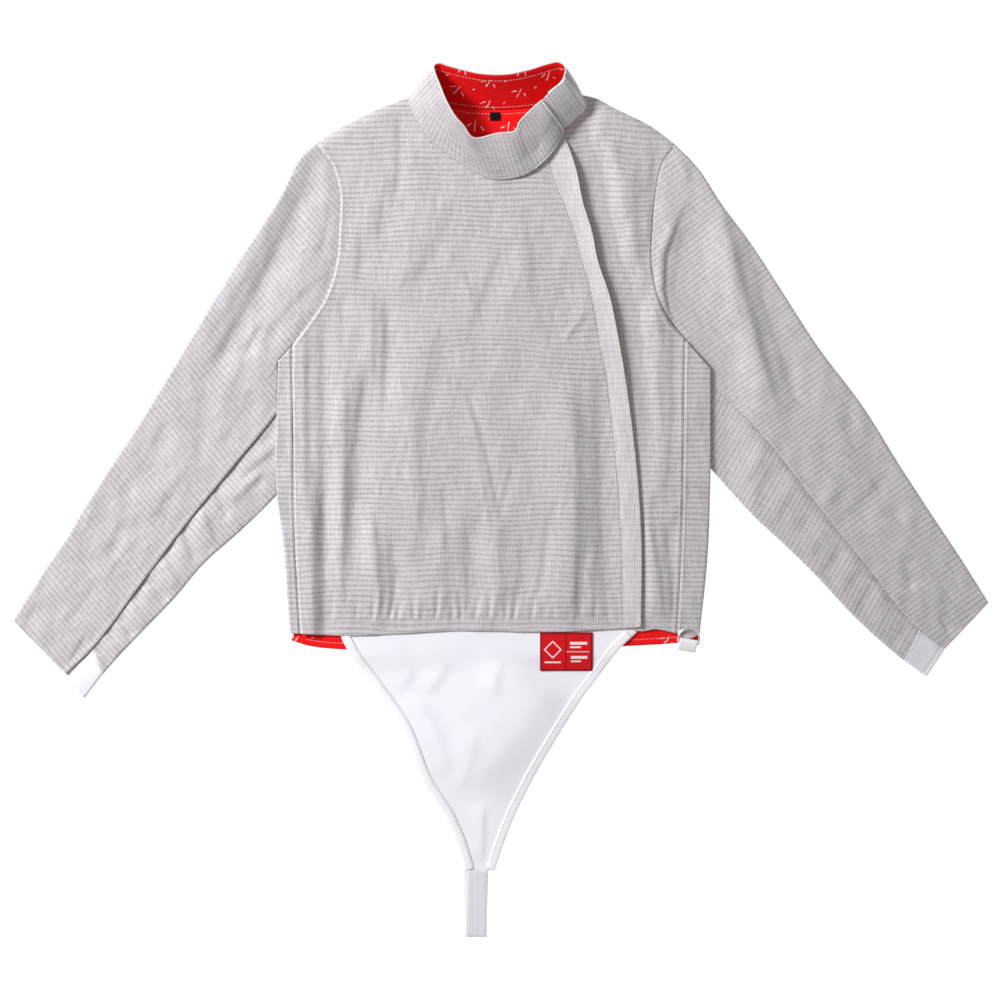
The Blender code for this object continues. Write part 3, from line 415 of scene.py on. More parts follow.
def stroke(u, v, cell, shift, slant, length, width):
    """A short printed stroke that comes once in each cell of a staggered layout."""
    column = maths("DIVIDE", maths("ADD", u, shift[0]), cell[0])
    stagger = maths("MULTIPLY", maths("FLOOR", column), 0.5)
    row = maths("ADD", maths("DIVIDE", maths("ADD", v, shift[1]), cell[1]), stagger)
    x = maths("MULTIPLY", maths("SUBTRACT", maths("FRACT", column), 0.5), cell[0])
    y = maths("MULTIPLY", maths("SUBTRACT", maths("FRACT", row), 0.5), cell[1])
    turn = math.radians(slant)
    lengthwise = maths("ADD", maths("MULTIPLY", x, math.cos(turn)), maths("MULTIPLY", y, math.sin(turn)))
    sideways = maths("SUBTRACT", maths("MULTIPLY", y, math.cos(turn)), maths("MULTIPLY", x, math.sin(turn)))
    long = ramp(maths("ABSOLUTE", lengthwise), 0.4 * length, 0.55 * length, 1.0, 0.0)
    thin = ramp(maths("ABSOLUTE", sideways), 0.35 * width, 0.75 * width, 1.0, 0.0)
    return maths("MULTIPLY", long, thin)


def red_cloth(name, colour, printed=True):
    """Plain woven red lining, printed with a sparse staggered layout of short white strokes."""
    material, tree, shader = new_material(name, Roughness=0.75, Specular_IOR_Level=0.12)
    u, v = thread_places(tree)
    fine = streaks(u, v, 0.9, 3.0, 2.0)
    dark = tuple(0.78 * part for part in colour)
    body = mix_colour(ramp(fine, 0.3, 0.7), dark, colour)
    if printed:
        waver = ramp(streaks(u, v, 9.0, 9.0), 0.2, 0.8, -2.0, 2.0)
        wavy = maths("ADD", v, waver)
        marks = stroke(u, wavy, PRINT_CELL, *LONG_STROKE)
        for short_stroke in SHORT_STROKES:
            marks = maths("MAXIMUM", marks, stroke(u, wavy, PRINT_CELL, *short_stroke))
        worn = ramp(streaks(u, v, 5.0, 5.0), 0.35, 0.6, 0.45, 0.95)
        body = mix_colour(maths("MULTIPLY", marks, worn), body, (0.92, 0.80, 0.80))
    dress(shader, body, fine, 0.4, 0.2)
    return material


def tuck_lift(plan):
    """How far the back rides up over the tucked tops of the sleeves."""
    x, y = plan[..., 0], plan[..., 1]
    span_l = soft_step((y - TUCK_SPAN_L[0]) / TUCK_FADE) * soft_step((TUCK_SPAN_L[1] - y) / TUCK_FADE)
    span_r = soft_step((y - TUCK_SPAN_R[0]) / TUCK_FADE) * soft_step((TUCK_SPAN_R[1] - y) / TUCK_FADE)
    lift_l = span_l * soft_step((TUCK_EDGES[0] - x) / TUCK_SLOPE)
    lift_r = span_r * soft_step((x - TUCK_EDGES[1]) / TUCK_SLOPE)
    return TUCK_LIFT * (lift_l + lift_r)


LAME = (0.575, 0.540, 0.573)
LINE_PITCH = 5.75
lame = lame_cloth("lame cloth", LAME, LINE_PITCH)
red_lining = red_cloth("red lining", (0.93, 0.008, 0.010))

left = np.vstack([curve([BACK_HEM[0], HEM_CORNER_L, HEM_NOTCH_L]), curve(SIDE_SEAM_L), curve(ARMHOLE_L)])
right = np.vstack([curve([BACK_HEM[-1], HEM_CORNER_R, HEM_NOTCH_R]), curve(SIDE_SEAM_R), curve(ARMHOLE_R)])
crown = np.vstack([curve(SHOULDER_L), curve(BACK_NECK)[1:], curve(SHOULDER_R)[1:]])
plan = inset(fill(left, right, curve(BACK_HEM), crown, 150, 110))
under = tuck_lift(plan) + np.abs(creases(BACK_CREASES, plan)) + BACK_LIFT
under += crumple(plan, seed=3, size=26.0, depth=0.06, stretch=2.5)
back_panel = cloth("back_panel", raised(plan, under), raised(plan, under + LAME_WALL), grain(plan, 0.0),
                   lame, red_lining)
sew_on(back_panel, ["back_panel"])

# The wide front: the panel that wraps over to the wearer's left. It is gathered above its double stitched
# hem, and lies in soft upright folds.
FRONT_HEIGHT = 6.8
FLAP_HEIGHT = 7.4
SHOULDER_EDGE_HEIGHT = 4.6
SHOULDER_ROLL = 9.0
FRONT_NECK = [
    (-97.3, 446.9), (-95.1, 433.4), (-83.0, 408.1), (-64.3, 389.4), (-41.2, 371.3), (-18.1, 358.6),
    (-2.7, 355.3), (20.4, 358.6), (36.0, 367.0), (50.0, 381.0),
]
FLAP_STITCH = [
    (135.0, -140.5), (132.5, -30.0), (126.0, 67.0), (109.0, 177.0), (100.2, 226.0), (90.5, 265.0),
    (81.0, 297.0), (71.3, 325.0), (60.6, 353.0), (50.0, 381.0),
]
FRONT_HEM = [(-220.1, -146.0), (-180.0, -148.2), (-44.5, -143.0), (65.5, -144.1), (135.0, -140.5)]
HEM_ROWS = (7.3, 13.3)
SEAM_SINK = 0.5
SEAM_RAISE = 0.35
# Folds: start x, y, end x, y, bow, width, height
FRONT_FOLDS = [
    (-193, 215, -194, -60, 0, 10, -1.7), (-193, 30, -192, -165, 0, 11, -2.6),
    (-217, 190, -216, -10, 0, 8, 1.9), (-209, 15, -207, -178, 0, 12, 3.8),
    (-143, 155, -162, -70, -5, 13, -3.3), (-172, 140, -177, -125, 0, 9, 2.0),
    (-125, 225, -128, 100, 2, 8, -1.9), (-141, 225, -143, 130, 0, 7, 1.1),
    (-144, -15, -134, -140, 3, 8, 2.2), (-119, -35, -114, -128, 0, 9, -1.5),
    (-98, 90, -96, -60, 4, 13, 1.7), (-65, -30, -66, -128, 0, 13, 1.4), (-32, -20, -34, -130, 0, 13, -1.9),
    (-2, -10, -3, -120, 0, 11, 1.3), (-35, 118, 0, -20, 3, 4, -0.7), (-42, 118, -8, -10, 3, 5, 0.6),
    (14, 40, -2, -22, 0, 5, -0.9), (-62, 15, -57, -55, 0, 6, -0.9), (26, -40, 22, -118, 0, 9, -1.0),
    (76, 130, 74, -150, 5, 18, 4.2), (112, 150, 121, -128, -4, 16, -3.2), (71, 176, 99, 213, 1, 4, 1.1),
    (66, 190, 88, 206, 2, 4, 0.6), (-152, 292, -155, 236, 0, 7, -1.0), (-112, 425, -114, 338, 2, 6, -1.0),
    (-126, 330, -132, 290, 0, 8, -0.9), (-174, 225, -174, 168, 0, 6, -0.9),
    (-60, 335, -118, 235, 6, 18, 1.4), (-95, 60, -70, 200, 4, 16, 1.3), (42, 175, 20, 325, 4, 16, 1.3),
    (-70, 290, -20, 190, 5, 6, 0.6), (0, 280, -40, 170, -4, 7, 0.6), (-30, 60, -12, -40, 2, 5, 0.7),
    (52, -20, 38, -118, 3, 6, -0.9), (88, -50, 84, -130, 0, 6, -0.8), (100, -60, 99, -132, 0, 5, 0.8),
]
# Gathers: x of the trough above the hem, how high it runs, its depth, its lean
GATHERS = [
    (-158.9, 30, 1.0, 1), (-153.4, 16, 0.6, -1), (-140.2, 50, 1.4, 2), (-134.1, 20, 0.8, -1),
    (-130.3, 36, 0.9, 1), (-121.5, 58, 1.5, 9), (-112.7, 28, 1.0, -1), (-95.1, 42, 1.4, -2),
    (-85.2, 24, 0.9, 1), (-79.7, 30, 0.7, 3), (-70.9, 52, 1.4, 4), (-52.7, 34, 1.2, -1),
    (-43.4, 56, 1.5, -3), (-39.5, 24, 0.7, 2), (-27.3, 30, 1.1, 1), (-12.6, 48, 1.3, 2),
    (-1.6, 22, 0.7, -1), (6.1, 32, 1.1, -2), (14.9, 50, 1.3, 4), (34.7, 40, 1.1, 1), (47.5, 26, 0.7, 2),
    (57.8, 36, 0.6, -1), (-186.0, 18, 0.5, 0), (76.0, 24, 0.6, 1), (88.0, 34, 0.6, -1), (104.0, 30, 0.7, 1),
    (118.0, 20, 0.5, 0),
]
GATHER_FOOT = -129.0
GATHER_WIDTH = 1.9
GATHER_SPREAD = 1.6


def distance_to(line, plan):
    """The distance from plan points to a line."""
    nearest = np.full(plan.shape[:-1], 1e9)
    for start, end in zip(np.array(line[:-1], float), np.array(line[1:], float)):
        run = end - start
        share = np.clip(((plan - start) @ run) / (run @ run), 0.0, 1.0)
        nearest = np.minimum(nearest, np.linalg.norm(plan - (start + share[..., None] * run), axis=-1))
    return nearest


def groove(line, plan, depth, width, away=0.0):
    """A shallow channel that runs along a line, or at a distance from it."""
    return -depth * np.exp(-(((distance_to(line, plan) - away) / width) ** 2))


def sewn_edge(line, plan):
    """Where cloth is sewn to its neighbour: a sunk seam, with the raised seam allowance beside it."""
    return groove(line, plan, SEAM_SINK, 1.3) - groove(line, plan, SEAM_RAISE, 1.7, 3.4)


def panel(name, plan, height, wall, face, back=None, weave=None):
    """Cloth laid out over its plan. height is that of its upper face."""
    weave = grain(plan, 0.0) if weave is None else weave
    return cloth(name, raised(plan, height), raised(plan, height - wall), weave, face, back)


def gathers(plan):
    """The cloth drawn together above the hem: narrow troughs that widen and fade upwards."""
    height = np.zeros(plan.shape[:-1])
    for x, reach, depth, lean in GATHERS:
        up = (plan[..., 1] - GATHER_FOOT) / reach
        width = GATHER_WIDTH * (1.0 + GATHER_SPREAD * np.clip(up, 0.0, 1.0))
        offset = (plan[..., 0] - x - lean * up) / width
        fade = soft_step((up * reach + 2.0) / 4.0) * (1.0 - soft_step(up))
        height += depth * fade * (0.35 * np.exp(-((offset - 1.9) ** 2)) - np.exp(-(offset**2)))
    return height


def shoulder_roll(height, plan, shoulder):
    """Heights that fall to the folded edge along the shoulder."""
    near = np.clip(distance_to(shoulder, plan) / SHOULDER_ROLL, 0.0, 1.0)
    return SHOULDER_EDGE_HEIGHT + (height - SHOULDER_EDGE_HEIGHT) * (1.0 - (1.0 - near) ** 2)


def hem_channels(line, plan):
    """The rows of stitches above a hem, pressed into the doubled cloth."""
    height = np.zeros(plan.shape[:-1])
    for away in HEM_ROWS:
        height += groove(line, plan, 0.8, 1.6, away)
    return height


hem = curve(FRONT_HEM)
left = np.vstack([curve(SIDE_SEAM_L), curve(ARMHOLE_L)[1:]])
left[0] = FRONT_HEM[0]
crown = np.vstack([curve(SHOULDER_L), curve(FRONT_NECK)[1:]])
rows = np.concatenate([np.linspace(0.0, 0.12, 32)[:-1], np.linspace(0.12, 1.0, 134)])
plan = inset(fill(left, curve(FLAP_STITCH), hem, crown, rows, 200), right=0.0)
height = FRONT_HEIGHT + (FLAP_HEIGHT - FRONT_HEIGHT) * soft_step(1.0 - distance_to(FLAP_STITCH, plan) / 30.0)
height += creases(FRONT_FOLDS, plan) + gathers(plan) + hem_channels(hem, plan)
height += crumple(plan, seed=5, size=34.0, depth=0.32, stretch=2.6)
height += crumple(plan, seed=6, size=12.0, depth=0.08, stretch=2.2)
height += sewn_edge(left, plan) + groove(curve(FLAP_STITCH), plan, 0.3, 1.6)
height = shoulder_roll(height, plan, SHOULDER_L)
weave = grain(plan, 0.0) + crumple(plan, seed=8, size=120.0, depth=1.6)[..., None] * (0.0, 1.0)
front_panel = panel("front_panel", plan, height, LAME_WALL, lame, red_lining, weave)
sew_on(front_panel, ["front_panel"])

# The placket: a stiffer strip of doubled lame along the free edge of the wide front. It is top stitched on
# both its long edges and hides the zip.
FLAP_WALL = 1.6
ABOVE_ALL = 80.0
STEEPEST_STITCH = 1.2
FLAP_TILT = 1.8
FLAP_LIFT = 3.4
FLAP_END = [(48.0, 384.5), (66.0, 407.5)]
FLAP_EDGE = [
    (154.9, -138.6), (154.9, -30.0), (146.9, 67.0), (130.4, 177.0), (120.2, 226.0), (107.1, 265.0),
    (100.7, 297.0), (91.9, 325.0), (82.4, 368.5), (69.4, 402.2),
]
flap_seam, flap_edge = curve(FLAP_STITCH + [FLAP_END[0]]), curve(FLAP_EDGE + [FLAP_END[1]])
bottom = [FLAP_STITCH[0], FLAP_EDGE[0]]
plan = fill(flap_seam, flap_edge, bottom, FLAP_END, 180, 12)
plan = inset(plan, left=0.0, right=0.5 * FLAP_WALL)
edge_share = np.linspace(0.0, 1.0, 12)[None, :]
lift = FLAP_TILT + FLAP_LIFT * soft_step((plan[..., 1] - 60.0) / 150.0)
tilt = lift * soft_step((402.0 - plan[..., 1]) / 36.0)
height = FLAP_HEIGHT + tilt * edge_share**1.5 + (1.0 - edge_share) * creases(FRONT_FOLDS, plan)
height += hem_channels(hem[-8:], plan)
height += crumple(plan, seed=9, size=24.0, depth=0.16, stretch=2.0) + groove(flap_seam, plan, 0.3, 1.6)
height += groove(flap_edge, plan, 0.25, 1.4, 5.0)


def unit(vectors):
    """The vectors, each made 1 long."""
    return vectors / np.linalg.norm(vectors, axis=-1, keepdims=True)


def leftward(line):
    """The direction to the left of a plan line at each of its points."""
    ahead = np.gradient(np.array(line, float), axis=0)
    return unit(np.stack([-ahead[:, 1], ahead[:, 0]], axis=-1))


def beside(line, distance):
    """A line at a distance to the left of another."""
    return np.array(line, float) + distance * leftward(line)


def place_beads(name, centres, aheads, ups, material, size):
    """Stitches seen as short beads of thread. size is their length, width and height."""
    aheads = unit(aheads)
    sides = unit(np.cross(ups, aheads))
    ups = np.cross(aheads, sides)
    length, width, height = (0.5 * part for part in size)
    shape = [(-1.0, 0.0, 0.0)]
    for t, swell in ((-0.6, 0.75), (0.0, 1.0), (0.6, 0.75)):
        shape += [(t, swell, 0.0), (t, 0.0, swell), (t, -swell, 0.0), (t, 0.0, -swell)]
    shape.append((1.0, 0.0, 0.0))
    faces = [(0, 1 + (k + 1) % 4, 1 + k) for k in range(4)]
    faces += [(13, 9 + k, 9 + (k + 1) % 4) for k in range(4)]
    for ring in (1, 5):
        faces += [(ring + k, ring + (k + 1) % 4, ring + 4 + (k + 1) % 4, ring + 4 + k) for k in range(4)]
    points = np.concatenate([centres + t * length * aheads + s * width * sides + h * height * ups
                             for t, s, h in shape]).reshape(14, -1, 3).transpose(1, 0, 2).reshape(-1, 3)
    every = [tuple(14 * k + corner for corner in face) for k in range(len(centres)) for face in faces]
    sew_on(mesh_object(name, points, every, material))


def drop_on(point, over):
    """The highest point of the named pieces at a plan point, and which way the cloth faces there."""
    best, facing = None, None
    for name in over:
        hit, normal, _, _ = surfaces[name].ray_cast(Vector((*point, ABOVE_ALL)), Vector((0.0, 0.0, -1.0)))
        if hit is not None and (best is None or hit.z > best.z):
            best, facing = hit, normal if normal.z > 0.0 else -normal
    return best, facing


def stitch(name, lines, over, material, size=(2.3, 1.05, 0.8), pitch=3.3):
    """Rows of stitches along lines, laid on the pieces below them."""
    centres, aheads, ups = [], [], []
    for line in lines:
        total = np.sum(np.linalg.norm(np.diff(np.array(line, float), axis=0), axis=1))
        shares = (np.arange(int(total / pitch)) + 0.5) / int(total / pitch)
        reach = 0.35 * size[0] / total
        for places in zip(*(along(line, shares + shift) for shift in (-reach, 0.0, reach))):
            (low, _), (middle, up), (high, _) = (drop_on(place, over) for place in places)
            if low is None or middle is None or high is None or abs(high.z - low.z) > STEEPEST_STITCH:
                continue
            centres.append(tuple(middle + 0.2 * up))
            aheads.append(tuple(high - low))
            ups.append(tuple(up))
    place_beads(name, np.array(centres), np.array(aheads), np.array(ups), material, size)


def sewing_thread(name, tone):
    """Twisted sewing thread."""
    material, tree, shader = new_material(name, Roughness=0.7, Specular_IOR_Level=0.2)
    place = add_node(tree, "NewGeometry")
    twist = add_node(tree, "TexNoise", None, Vector=place, Scale=1500.0, Detail=1.0)
    dull = tuple(0.8 * part for part in tone)
    dress(shader, mix_colour(ramp(twist, 0.35, 0.65), dull, tone), twist, 0.3, 0.1)
    return material


grey_thread = sewing_thread("grey thread", (0.80, 0.77, 0.80))
strip_lame = lame_cloth("placket lame", tuple(1.05 * part for part in LAME), LINE_PITCH, 0.5)
placket = panel("placket", plan, height, FLAP_WALL, strip_lame, red_lining)
sew_on(placket, ["placket"])
flap_rows = [beside(flap_seam, 2.3), beside(flap_seam, -0.4), beside(flap_edge, 3.4)]
stitch("flap_stitches", flap_rows, ["front_panel", "placket"], grey_thread)
hem_rows = [beside(hem, away)[3:-1] for away in HEM_ROWS]
stitch("hem_stitches", hem_rows, ["front_panel", "placket"], grey_thread)

# The narrow front: the lame panel on the wearer's left, lined in red. Its free edge lies under the placket,
# and it is sewn to the back along its own shoulder and to the side panel along its side.
UNDER_FLAP_HEIGHT = 5.3
SIDE_FRONT_RISE = 1.6
FLAP_DIP = 3.4
DIP_REACH = 25.0
DIP_HOLD = 24.0
LEAST_SIDE_FRONT = 3.7
FLAP_OVERLAP = 13.0
UNDER_NECK = [(60.0, 392.0), (70.0, 409.0), (80.0, 425.0), (84.5, 440.0), (86.1, 447.7)]
UNDER_HEM = [
    (141.9, -141.5), (151.0, -143.4), (160.9, -143.0), (169.0, -141.2), (177.7, -142.2), (194.1, -146.0),
]
SIDE_FRONT_FOLDS = [
    (146, 375, 148, 262, -3, 13, 1.9), (169, 392, 166, 268, 2, 8, -1.7), (172, 235, 172, 40, 0, 13, 2.0),
    (159, -22, 176, -135, 3, 9, 1.8), (182, -22, 192, -130, 2, 8, -1.7), (184, 70, 178, 0, 0, 8, 1.0),
    (189, 200, 188, 60, 2, 5, -0.9), (150, 180, 166, 150, 0, 7, -0.6), (164, 330, 160, 270, -2, 5, 0.6),
    (120, 400, 132, 352, 2, 8, 0.9), (168, 10, 166, -50, 0, 5, -0.7), (150, 90, 156, 20, 0, 7, -0.6),
    (92, 426, 85, 376, 0, 6, -1.4),
]

hidden = curve([(x - FLAP_OVERLAP, y) for x, y in FLAP_EDGE[1:-1]])
left = np.vstack([[UNDER_HEM[0]], hidden, [UNDER_NECK[0]]])
right = np.vstack([curve(SIDE_SEAM_R), curve(ARMHOLE_R)[1:]])
crown = np.vstack([curve(UNDER_NECK), curve(SHOULDER_R)[1:]])
plan = inset(fill(left, right, curve(UNDER_HEM), crown, 190, 46))
edge_x = np.interp(plan[..., 1], [y for _, y in FLAP_EDGE], [x for x, _ in FLAP_EDGE])
beyond = plan[..., 0] - edge_x
clear_width = 12.0 + 22.0 * soft_step((plan[..., 1] + 20.0) / 100.0)
clear = soft_step((beyond - 1.0) / clear_width)
rise = soft_step((plan[..., 1] + 150.0) / 70.0)
bend = creases(SIDE_FRONT_FOLDS, plan)
bend += crumple(plan, seed=12, size=26.0, depth=0.35, stretch=2.4)
bend += crumple(plan, seed=13, size=10.0, depth=0.08, stretch=2.0)
bend += sewn_edge(right, plan) + hem_channels(curve(UNDER_HEM), plan)
dip = soft_step(beyond / DIP_REACH) * (1.0 - soft_step((beyond - DIP_HOLD) / DIP_HOLD))
dip *= soft_step((plan[..., 1] - 20.0) / 80.0)
height = UNDER_FLAP_HEIGHT + clear * (SIDE_FRONT_RISE * rise + bend) - FLAP_DIP * dip
height = np.maximum(height, LEAST_SIDE_FRONT)
height = shoulder_roll(height, plan, SHOULDER_R)
weave = grain(plan, 0.0) + crumple(plan, seed=14, size=90.0, depth=1.4)[..., None] * (0.0, 1.0)
side_front = panel("side_front", plan, height, LAME_WALL, lame, red_lining, weave)
sew_on(side_front, ["side_front"])
hem_rows = [beside(curve(UNDER_HEM), away)[8:-1] for away in HEM_ROWS]
stitch("side_hem_stitches", hem_rows, ["side_front", "placket"], grey_thread)

# The side panels: a strip of lame under each arm, lined in red. It wraps round the folded side and is sewn
# to the front on top and to the back below, with a row of stitches on each side of the seam.
SIDE_FOLD_L = [(-232.3, -146.0), (-240.3, -43.0), (-245.8, 1.0), (-244.7, 154.0)]
SIDE_FOLD_R = [(219.5, -146.0), (228.3, -59.0), (231.2, 36.0), (231.2, 145.2)]
SIDE_PANEL_HEIGHT = 6.6
SIDE_HEM_HEIGHTS = (5.6, 5.2)
SIDE_HEM_DIP = (207.0, -152.0)
SIDE_SEAM_INSET = 0.8
TUCK_SHOWS = 0.3
TURN_ANGLES = np.radians(np.linspace(-90.0, 90.0, 11)[1:-1])


def wrapped(name, fold, seam, root, end, rows, tops, unders, top_of, under_of, wall, degrees, face, back,
            seam_inset=SEAM_INSET):
    """A panel from a seam on top, round a folded side, to the seam below, as two layers laid flat.

    fold and seam run along the panel, root and end across it. tops and unders count the columns of the two
    layers. top_of and under_of give their heights from plan points and the share along the panel.
    """
    v = np.array(rows)[:, None]
    fold_at, seam_at = along(fold, rows)[:, None], along(seam, rows)[:, None]
    root, end = np.array(root, float), np.array(end, float)

    def plan_at(share):
        s, w = share[..., None], v[..., None]
        corners = (1 - w) * ((1 - s) * root[0] + s * root[-1]) + w * ((1 - s) * end[0] + s * end[-1])
        ends = (1 - w) * along(root, share) + w * along(end, share)
        return (1 - s) * fold_at + s * seam_at + ends - corners

    length = np.linalg.norm(seam_at - fold_at, axis=-1)
    near = plan_at(np.broadcast_to(4.0 / length, length.shape))
    high, low = top_of(near, v), under_of(near)
    radius, middle = 0.5 * (high - low), 0.5 * (high + low)
    first, last = radius / length, 1.0 - seam_inset / length
    over = first + (last - first) * np.linspace(0.0, 1.0, tops)[None, :]
    beneath = first + (last - first) * np.linspace(1.0, 0.0, unders)[None, :]
    turn = TURN_ANGLES[None, :]
    out = plan_at(radius * (1.0 - np.cos(turn)) / length)
    into = plan_at((radius - (radius - wall) * np.cos(turn)) / length)
    below, above = plan_at(beneath), plan_at(over)
    low_z, high_z = under_of(below), top_of(above, v)
    outer = np.concatenate([raised(below, low_z), raised(out, middle + radius * np.sin(turn)),
                            raised(above, high_z)], axis=1)
    inner = np.concatenate([raised(below, low_z + wall),
                            raised(into, middle + (radius - wall) * np.sin(turn)),
                            raised(above, high_z - wall)], axis=1)
    weave = grain(np.concatenate([below, out, above], axis=1), degrees)
    return cloth(name, outer, inner, weave, face, back)


def side_panel(name, fold, seam, hem_height, seed, *hem_dip):
    """One side panel, which rides up over the tucked top of the sleeve."""
    def top_of(plan, v):
        rise = (SIDE_PANEL_HEIGHT - hem_height) * soft_step(v / 0.3)
        bend = crumple(plan, seed=seed, size=22.0, depth=0.35, stretch=2.6) + sewn_edge(seam, plan)
        bend += hem_channels([fold[0], seam[0]], plan)
        return hem_height + rise + TUCK_SHOWS * tuck_lift(plan) + bend

    def under_of(plan):
        return tuck_lift(plan) + 0.1

    rows = np.linspace(0.0025, 0.9975, 110)
    hem_line = curve([fold[0], *hem_dip, seam[0]])
    return wrapped(name, curve(fold), curve(seam), hem_line, [fold[-1], seam[-1]], rows, 14, 10, top_of,
                   under_of, LAME_WALL, 0.0, lame, red_lining, SIDE_SEAM_INSET)


side_panel_l = side_panel("side_panel_l", SIDE_FOLD_L, SIDE_SEAM_L, SIDE_HEM_HEIGHTS[0], 21)
side_panel_r = side_panel("side_panel_r", SIDE_FOLD_R, SIDE_SEAM_R, SIDE_HEM_HEIGHTS[1], 22, SIDE_HEM_DIP)
side_rows = [beside(curve(SIDE_SEAM_L), 3.0), beside(curve(SIDE_SEAM_L), -3.0)]
side_rows += [beside(curve(SIDE_SEAM_R), 3.0), beside(curve(SIDE_SEAM_R), -3.0)]
panels = ["front_panel", "side_front", "side_panel_l", "side_panel_r"]
stitch("side_stitches", side_rows, panels, grey_thread)
sew_on(side_panel_l, ["side_panel_l"])
sew_on(side_panel_r, ["side_panel_r"])

# The sleeves: an upper and an under panel each, sewn along the front and the back of the arm, with their
# tops tucked under the sides of the body. White ribbed elastic closes each cuff below the under panel.
OUTER_EDGE_L = [
    (-202.9, 393.8), (-216.6, 383.4), (-241.9, 338.8), (-298.0, 251.9), (-354.1, 159.5), (-393.4, 94.6),
    (-416.4, 59.4), (-451.8, 5.5), (-472.0, -28.6), (-505.7, -80.2), (-537.1, -130.9),
]
FRONT_SEAM_L = [
    (-231.0, 118.0), (-245.2, 98.3), (-294.5, 37.7), (-348.5, -28.5), (-395.7, -91.3), (-450.8, -163.4),
    (-478.2, -190.3),
]
LOWER_EDGE_L = [
    (-231.0, 24.0), (-245.2, 7.4), (-285.6, -32.8), (-326.2, -69.0), (-359.6, -108.2), (-393.3, -143.0),
    (-435.0, -187.9), (-457.9, -217.4),
]
OUTER_EDGE_R = [
    (192.0, 392.7), (214.4, 370.3), (243.9, 326.2), (275.4, 284.1), (307.0, 235.7), (349.0, 170.6),
    (399.5, 103.4), (441.7, 35.9), (478.0, -19.8), (511.7, -70.7), (537.1, -111.5),
]
FRONT_SEAM_R = [
    (215.0, 143.0), (231.1, 128.7), (264.6, 97.9), (292.8, 66.8), (354.7, -11.8), (402.1, -70.7),
    (463.2, -143.0), (488.9, -162.3),
]
LOWER_EDGE_R = [
    (215.0, 54.0), (231.1, 35.9), (276.0, -14.6), (318.1, -53.9), (349.0, -84.7), (388.3, -126.8),
    (442.7, -174.9), (468.1, -193.6),
]
SLEEVE_FOLDS_L = [
    (-204, 372, -322, 133, 6.5, 14, -3.7), (-226, 372, -330, 175, 8, 9, 1.3),
    (-186, 330, -200, 270, 3, 7, -0.9), (-262, 194, -281, 160, 0, 7, -1.3),
    (-322, 120, -330, 45, -4, 12, -1.5), (-285, 160, -312, 112, 3, 11, 0.9),
    (-198, 240, -260, 170, -5, 8, -1.0), (-412, -22, -430, -60, 0, 10, -1.5),
    (-360, -58, -388, -84, 0, 9, -1.3), (-350, 40, -392, -20, 2, 11, 1.1),
    (-440, 10, -470, -60, -4, 12, 0.9), (-360, 100, -420, 0, 5, 10, -0.8),
    (-440, -80, -480, -140, 3, 8, -0.8), (-456, -150, -474, -178, 0, 5, -1.2),
    (-400, -40, -440, -90, -3, 8, 0.8), (-506, -112, -522, -136, 0, 8, -0.9),
    (-270, 120, -310, 60, 4, 9, -0.7), (-240, 330, -256, 290, 0, 6, -0.6),
]
UNDER_FOLDS_L = [
    (-246, 84, -262, 60, 0, 6, -1.4), (-240, 60, -286, 22, 0, 6, -1.6), (-262, 34, -296, 0, 2, 6, 1.5),
    (-280, 12, -262, 26, 0, 5, -1.3), (-318, 16, -300, -20, 2, 6, -1.2), (-330, -10, -316, -46, 0, 7, 1.6),
    (-352, -28, -336, -66, 1, 7, -1.6), (-372, -66, -354, -92, 0, 6, 1.4),
    (-388, -88, -368, -112, 1, 6, -1.4), (-408, -112, -390, -136, 0, 6, 1.2),
    (-420, -128, -406, -152, 1, 5, -1.3), (-436, -146, -418, -170, 0, 5, 1.2),
    (-446, -162, -430, -184, 0, 4, -1.2), (-300, -14, -284, -30, 0, 5, 0.8),
]
SLEEVE_FOLDS_R = [
    (236, 348, 303, 96, -3, 14, 4.4), (272, 300, 332, 100, -3, 14, -2.4), (432, 37, 366, -29, 4, 9, -1.0),
    (350, 150, 392, 20, -2, 16, 1.1), (330, 30, 300, 0, 2, 9, 0.9), (400, 60, 440, -20, -4, 12, -0.9),
    (226, 200, 250, 150, 2, 8, 0.9), (444, -62, 452, -96, 3, 10, -1.1), (420, -20, 450, -50, 3, 9, 0.8),
    (470, -60, 500, -110, -3, 9, -0.8), (452, -92, 486, -112, 0, 8, 1.2), (380, 20, 350, -10, 0, 7, 0.8),
    (196, 380, 206, 350, 2, 6, 0.8), (484, -124, 494, -146, 0, 6, -1.2),
]
UNDER_FOLDS_R = [
    (256, 96, 236, 60, 0, 8, 1.1), (270, 76, 252, 40, 0, 7, -0.8), (290, 60, 268, 20, 2, 6, 0.7),
    (304, 40, 280, 0, 0, 9, -1.2), (324, 20, 302, -24, -2, 6, 0.8), (346, -4, 330, -30, 0, 6, -0.5),
    (358, -30, 338, -60, 0, 7, 0.7), (376, -50, 352, -82, 2, 8, -1.2), (394, -72, 374, -98, 0, 6, 0.6),
    (410, -92, 392, -122, 0, 7, -0.8), (430, -116, 412, -138, 0, 6, 0.7),
    (446, -138, 428, -162, 0, 6, -0.8),
]
# The fold of the right sleeve that hangs over itself beside the armhole: the line of its edge, from the top
HEAD_FOLD = [(212.0, 345.0), (194.8, 306.4), (181.0, 270.6), (179.6, 232.1), (184.8, 208.0), (204.0, 182.0)]
HEAD_RISE = 1.5
HEAD_DROP = 4.3
# Height of a sleeve along its length: share of the length, height
SLEEVE_HEIGHTS = [(0.0, 6.6), (0.12, 7.2), (0.5, 7.4), (0.85, 6.8), (1.0, 5.8)]
UNDER_END_L = 0.895
UNDER_END_R = 0.915
TUCK_HEIGHT = 3.6
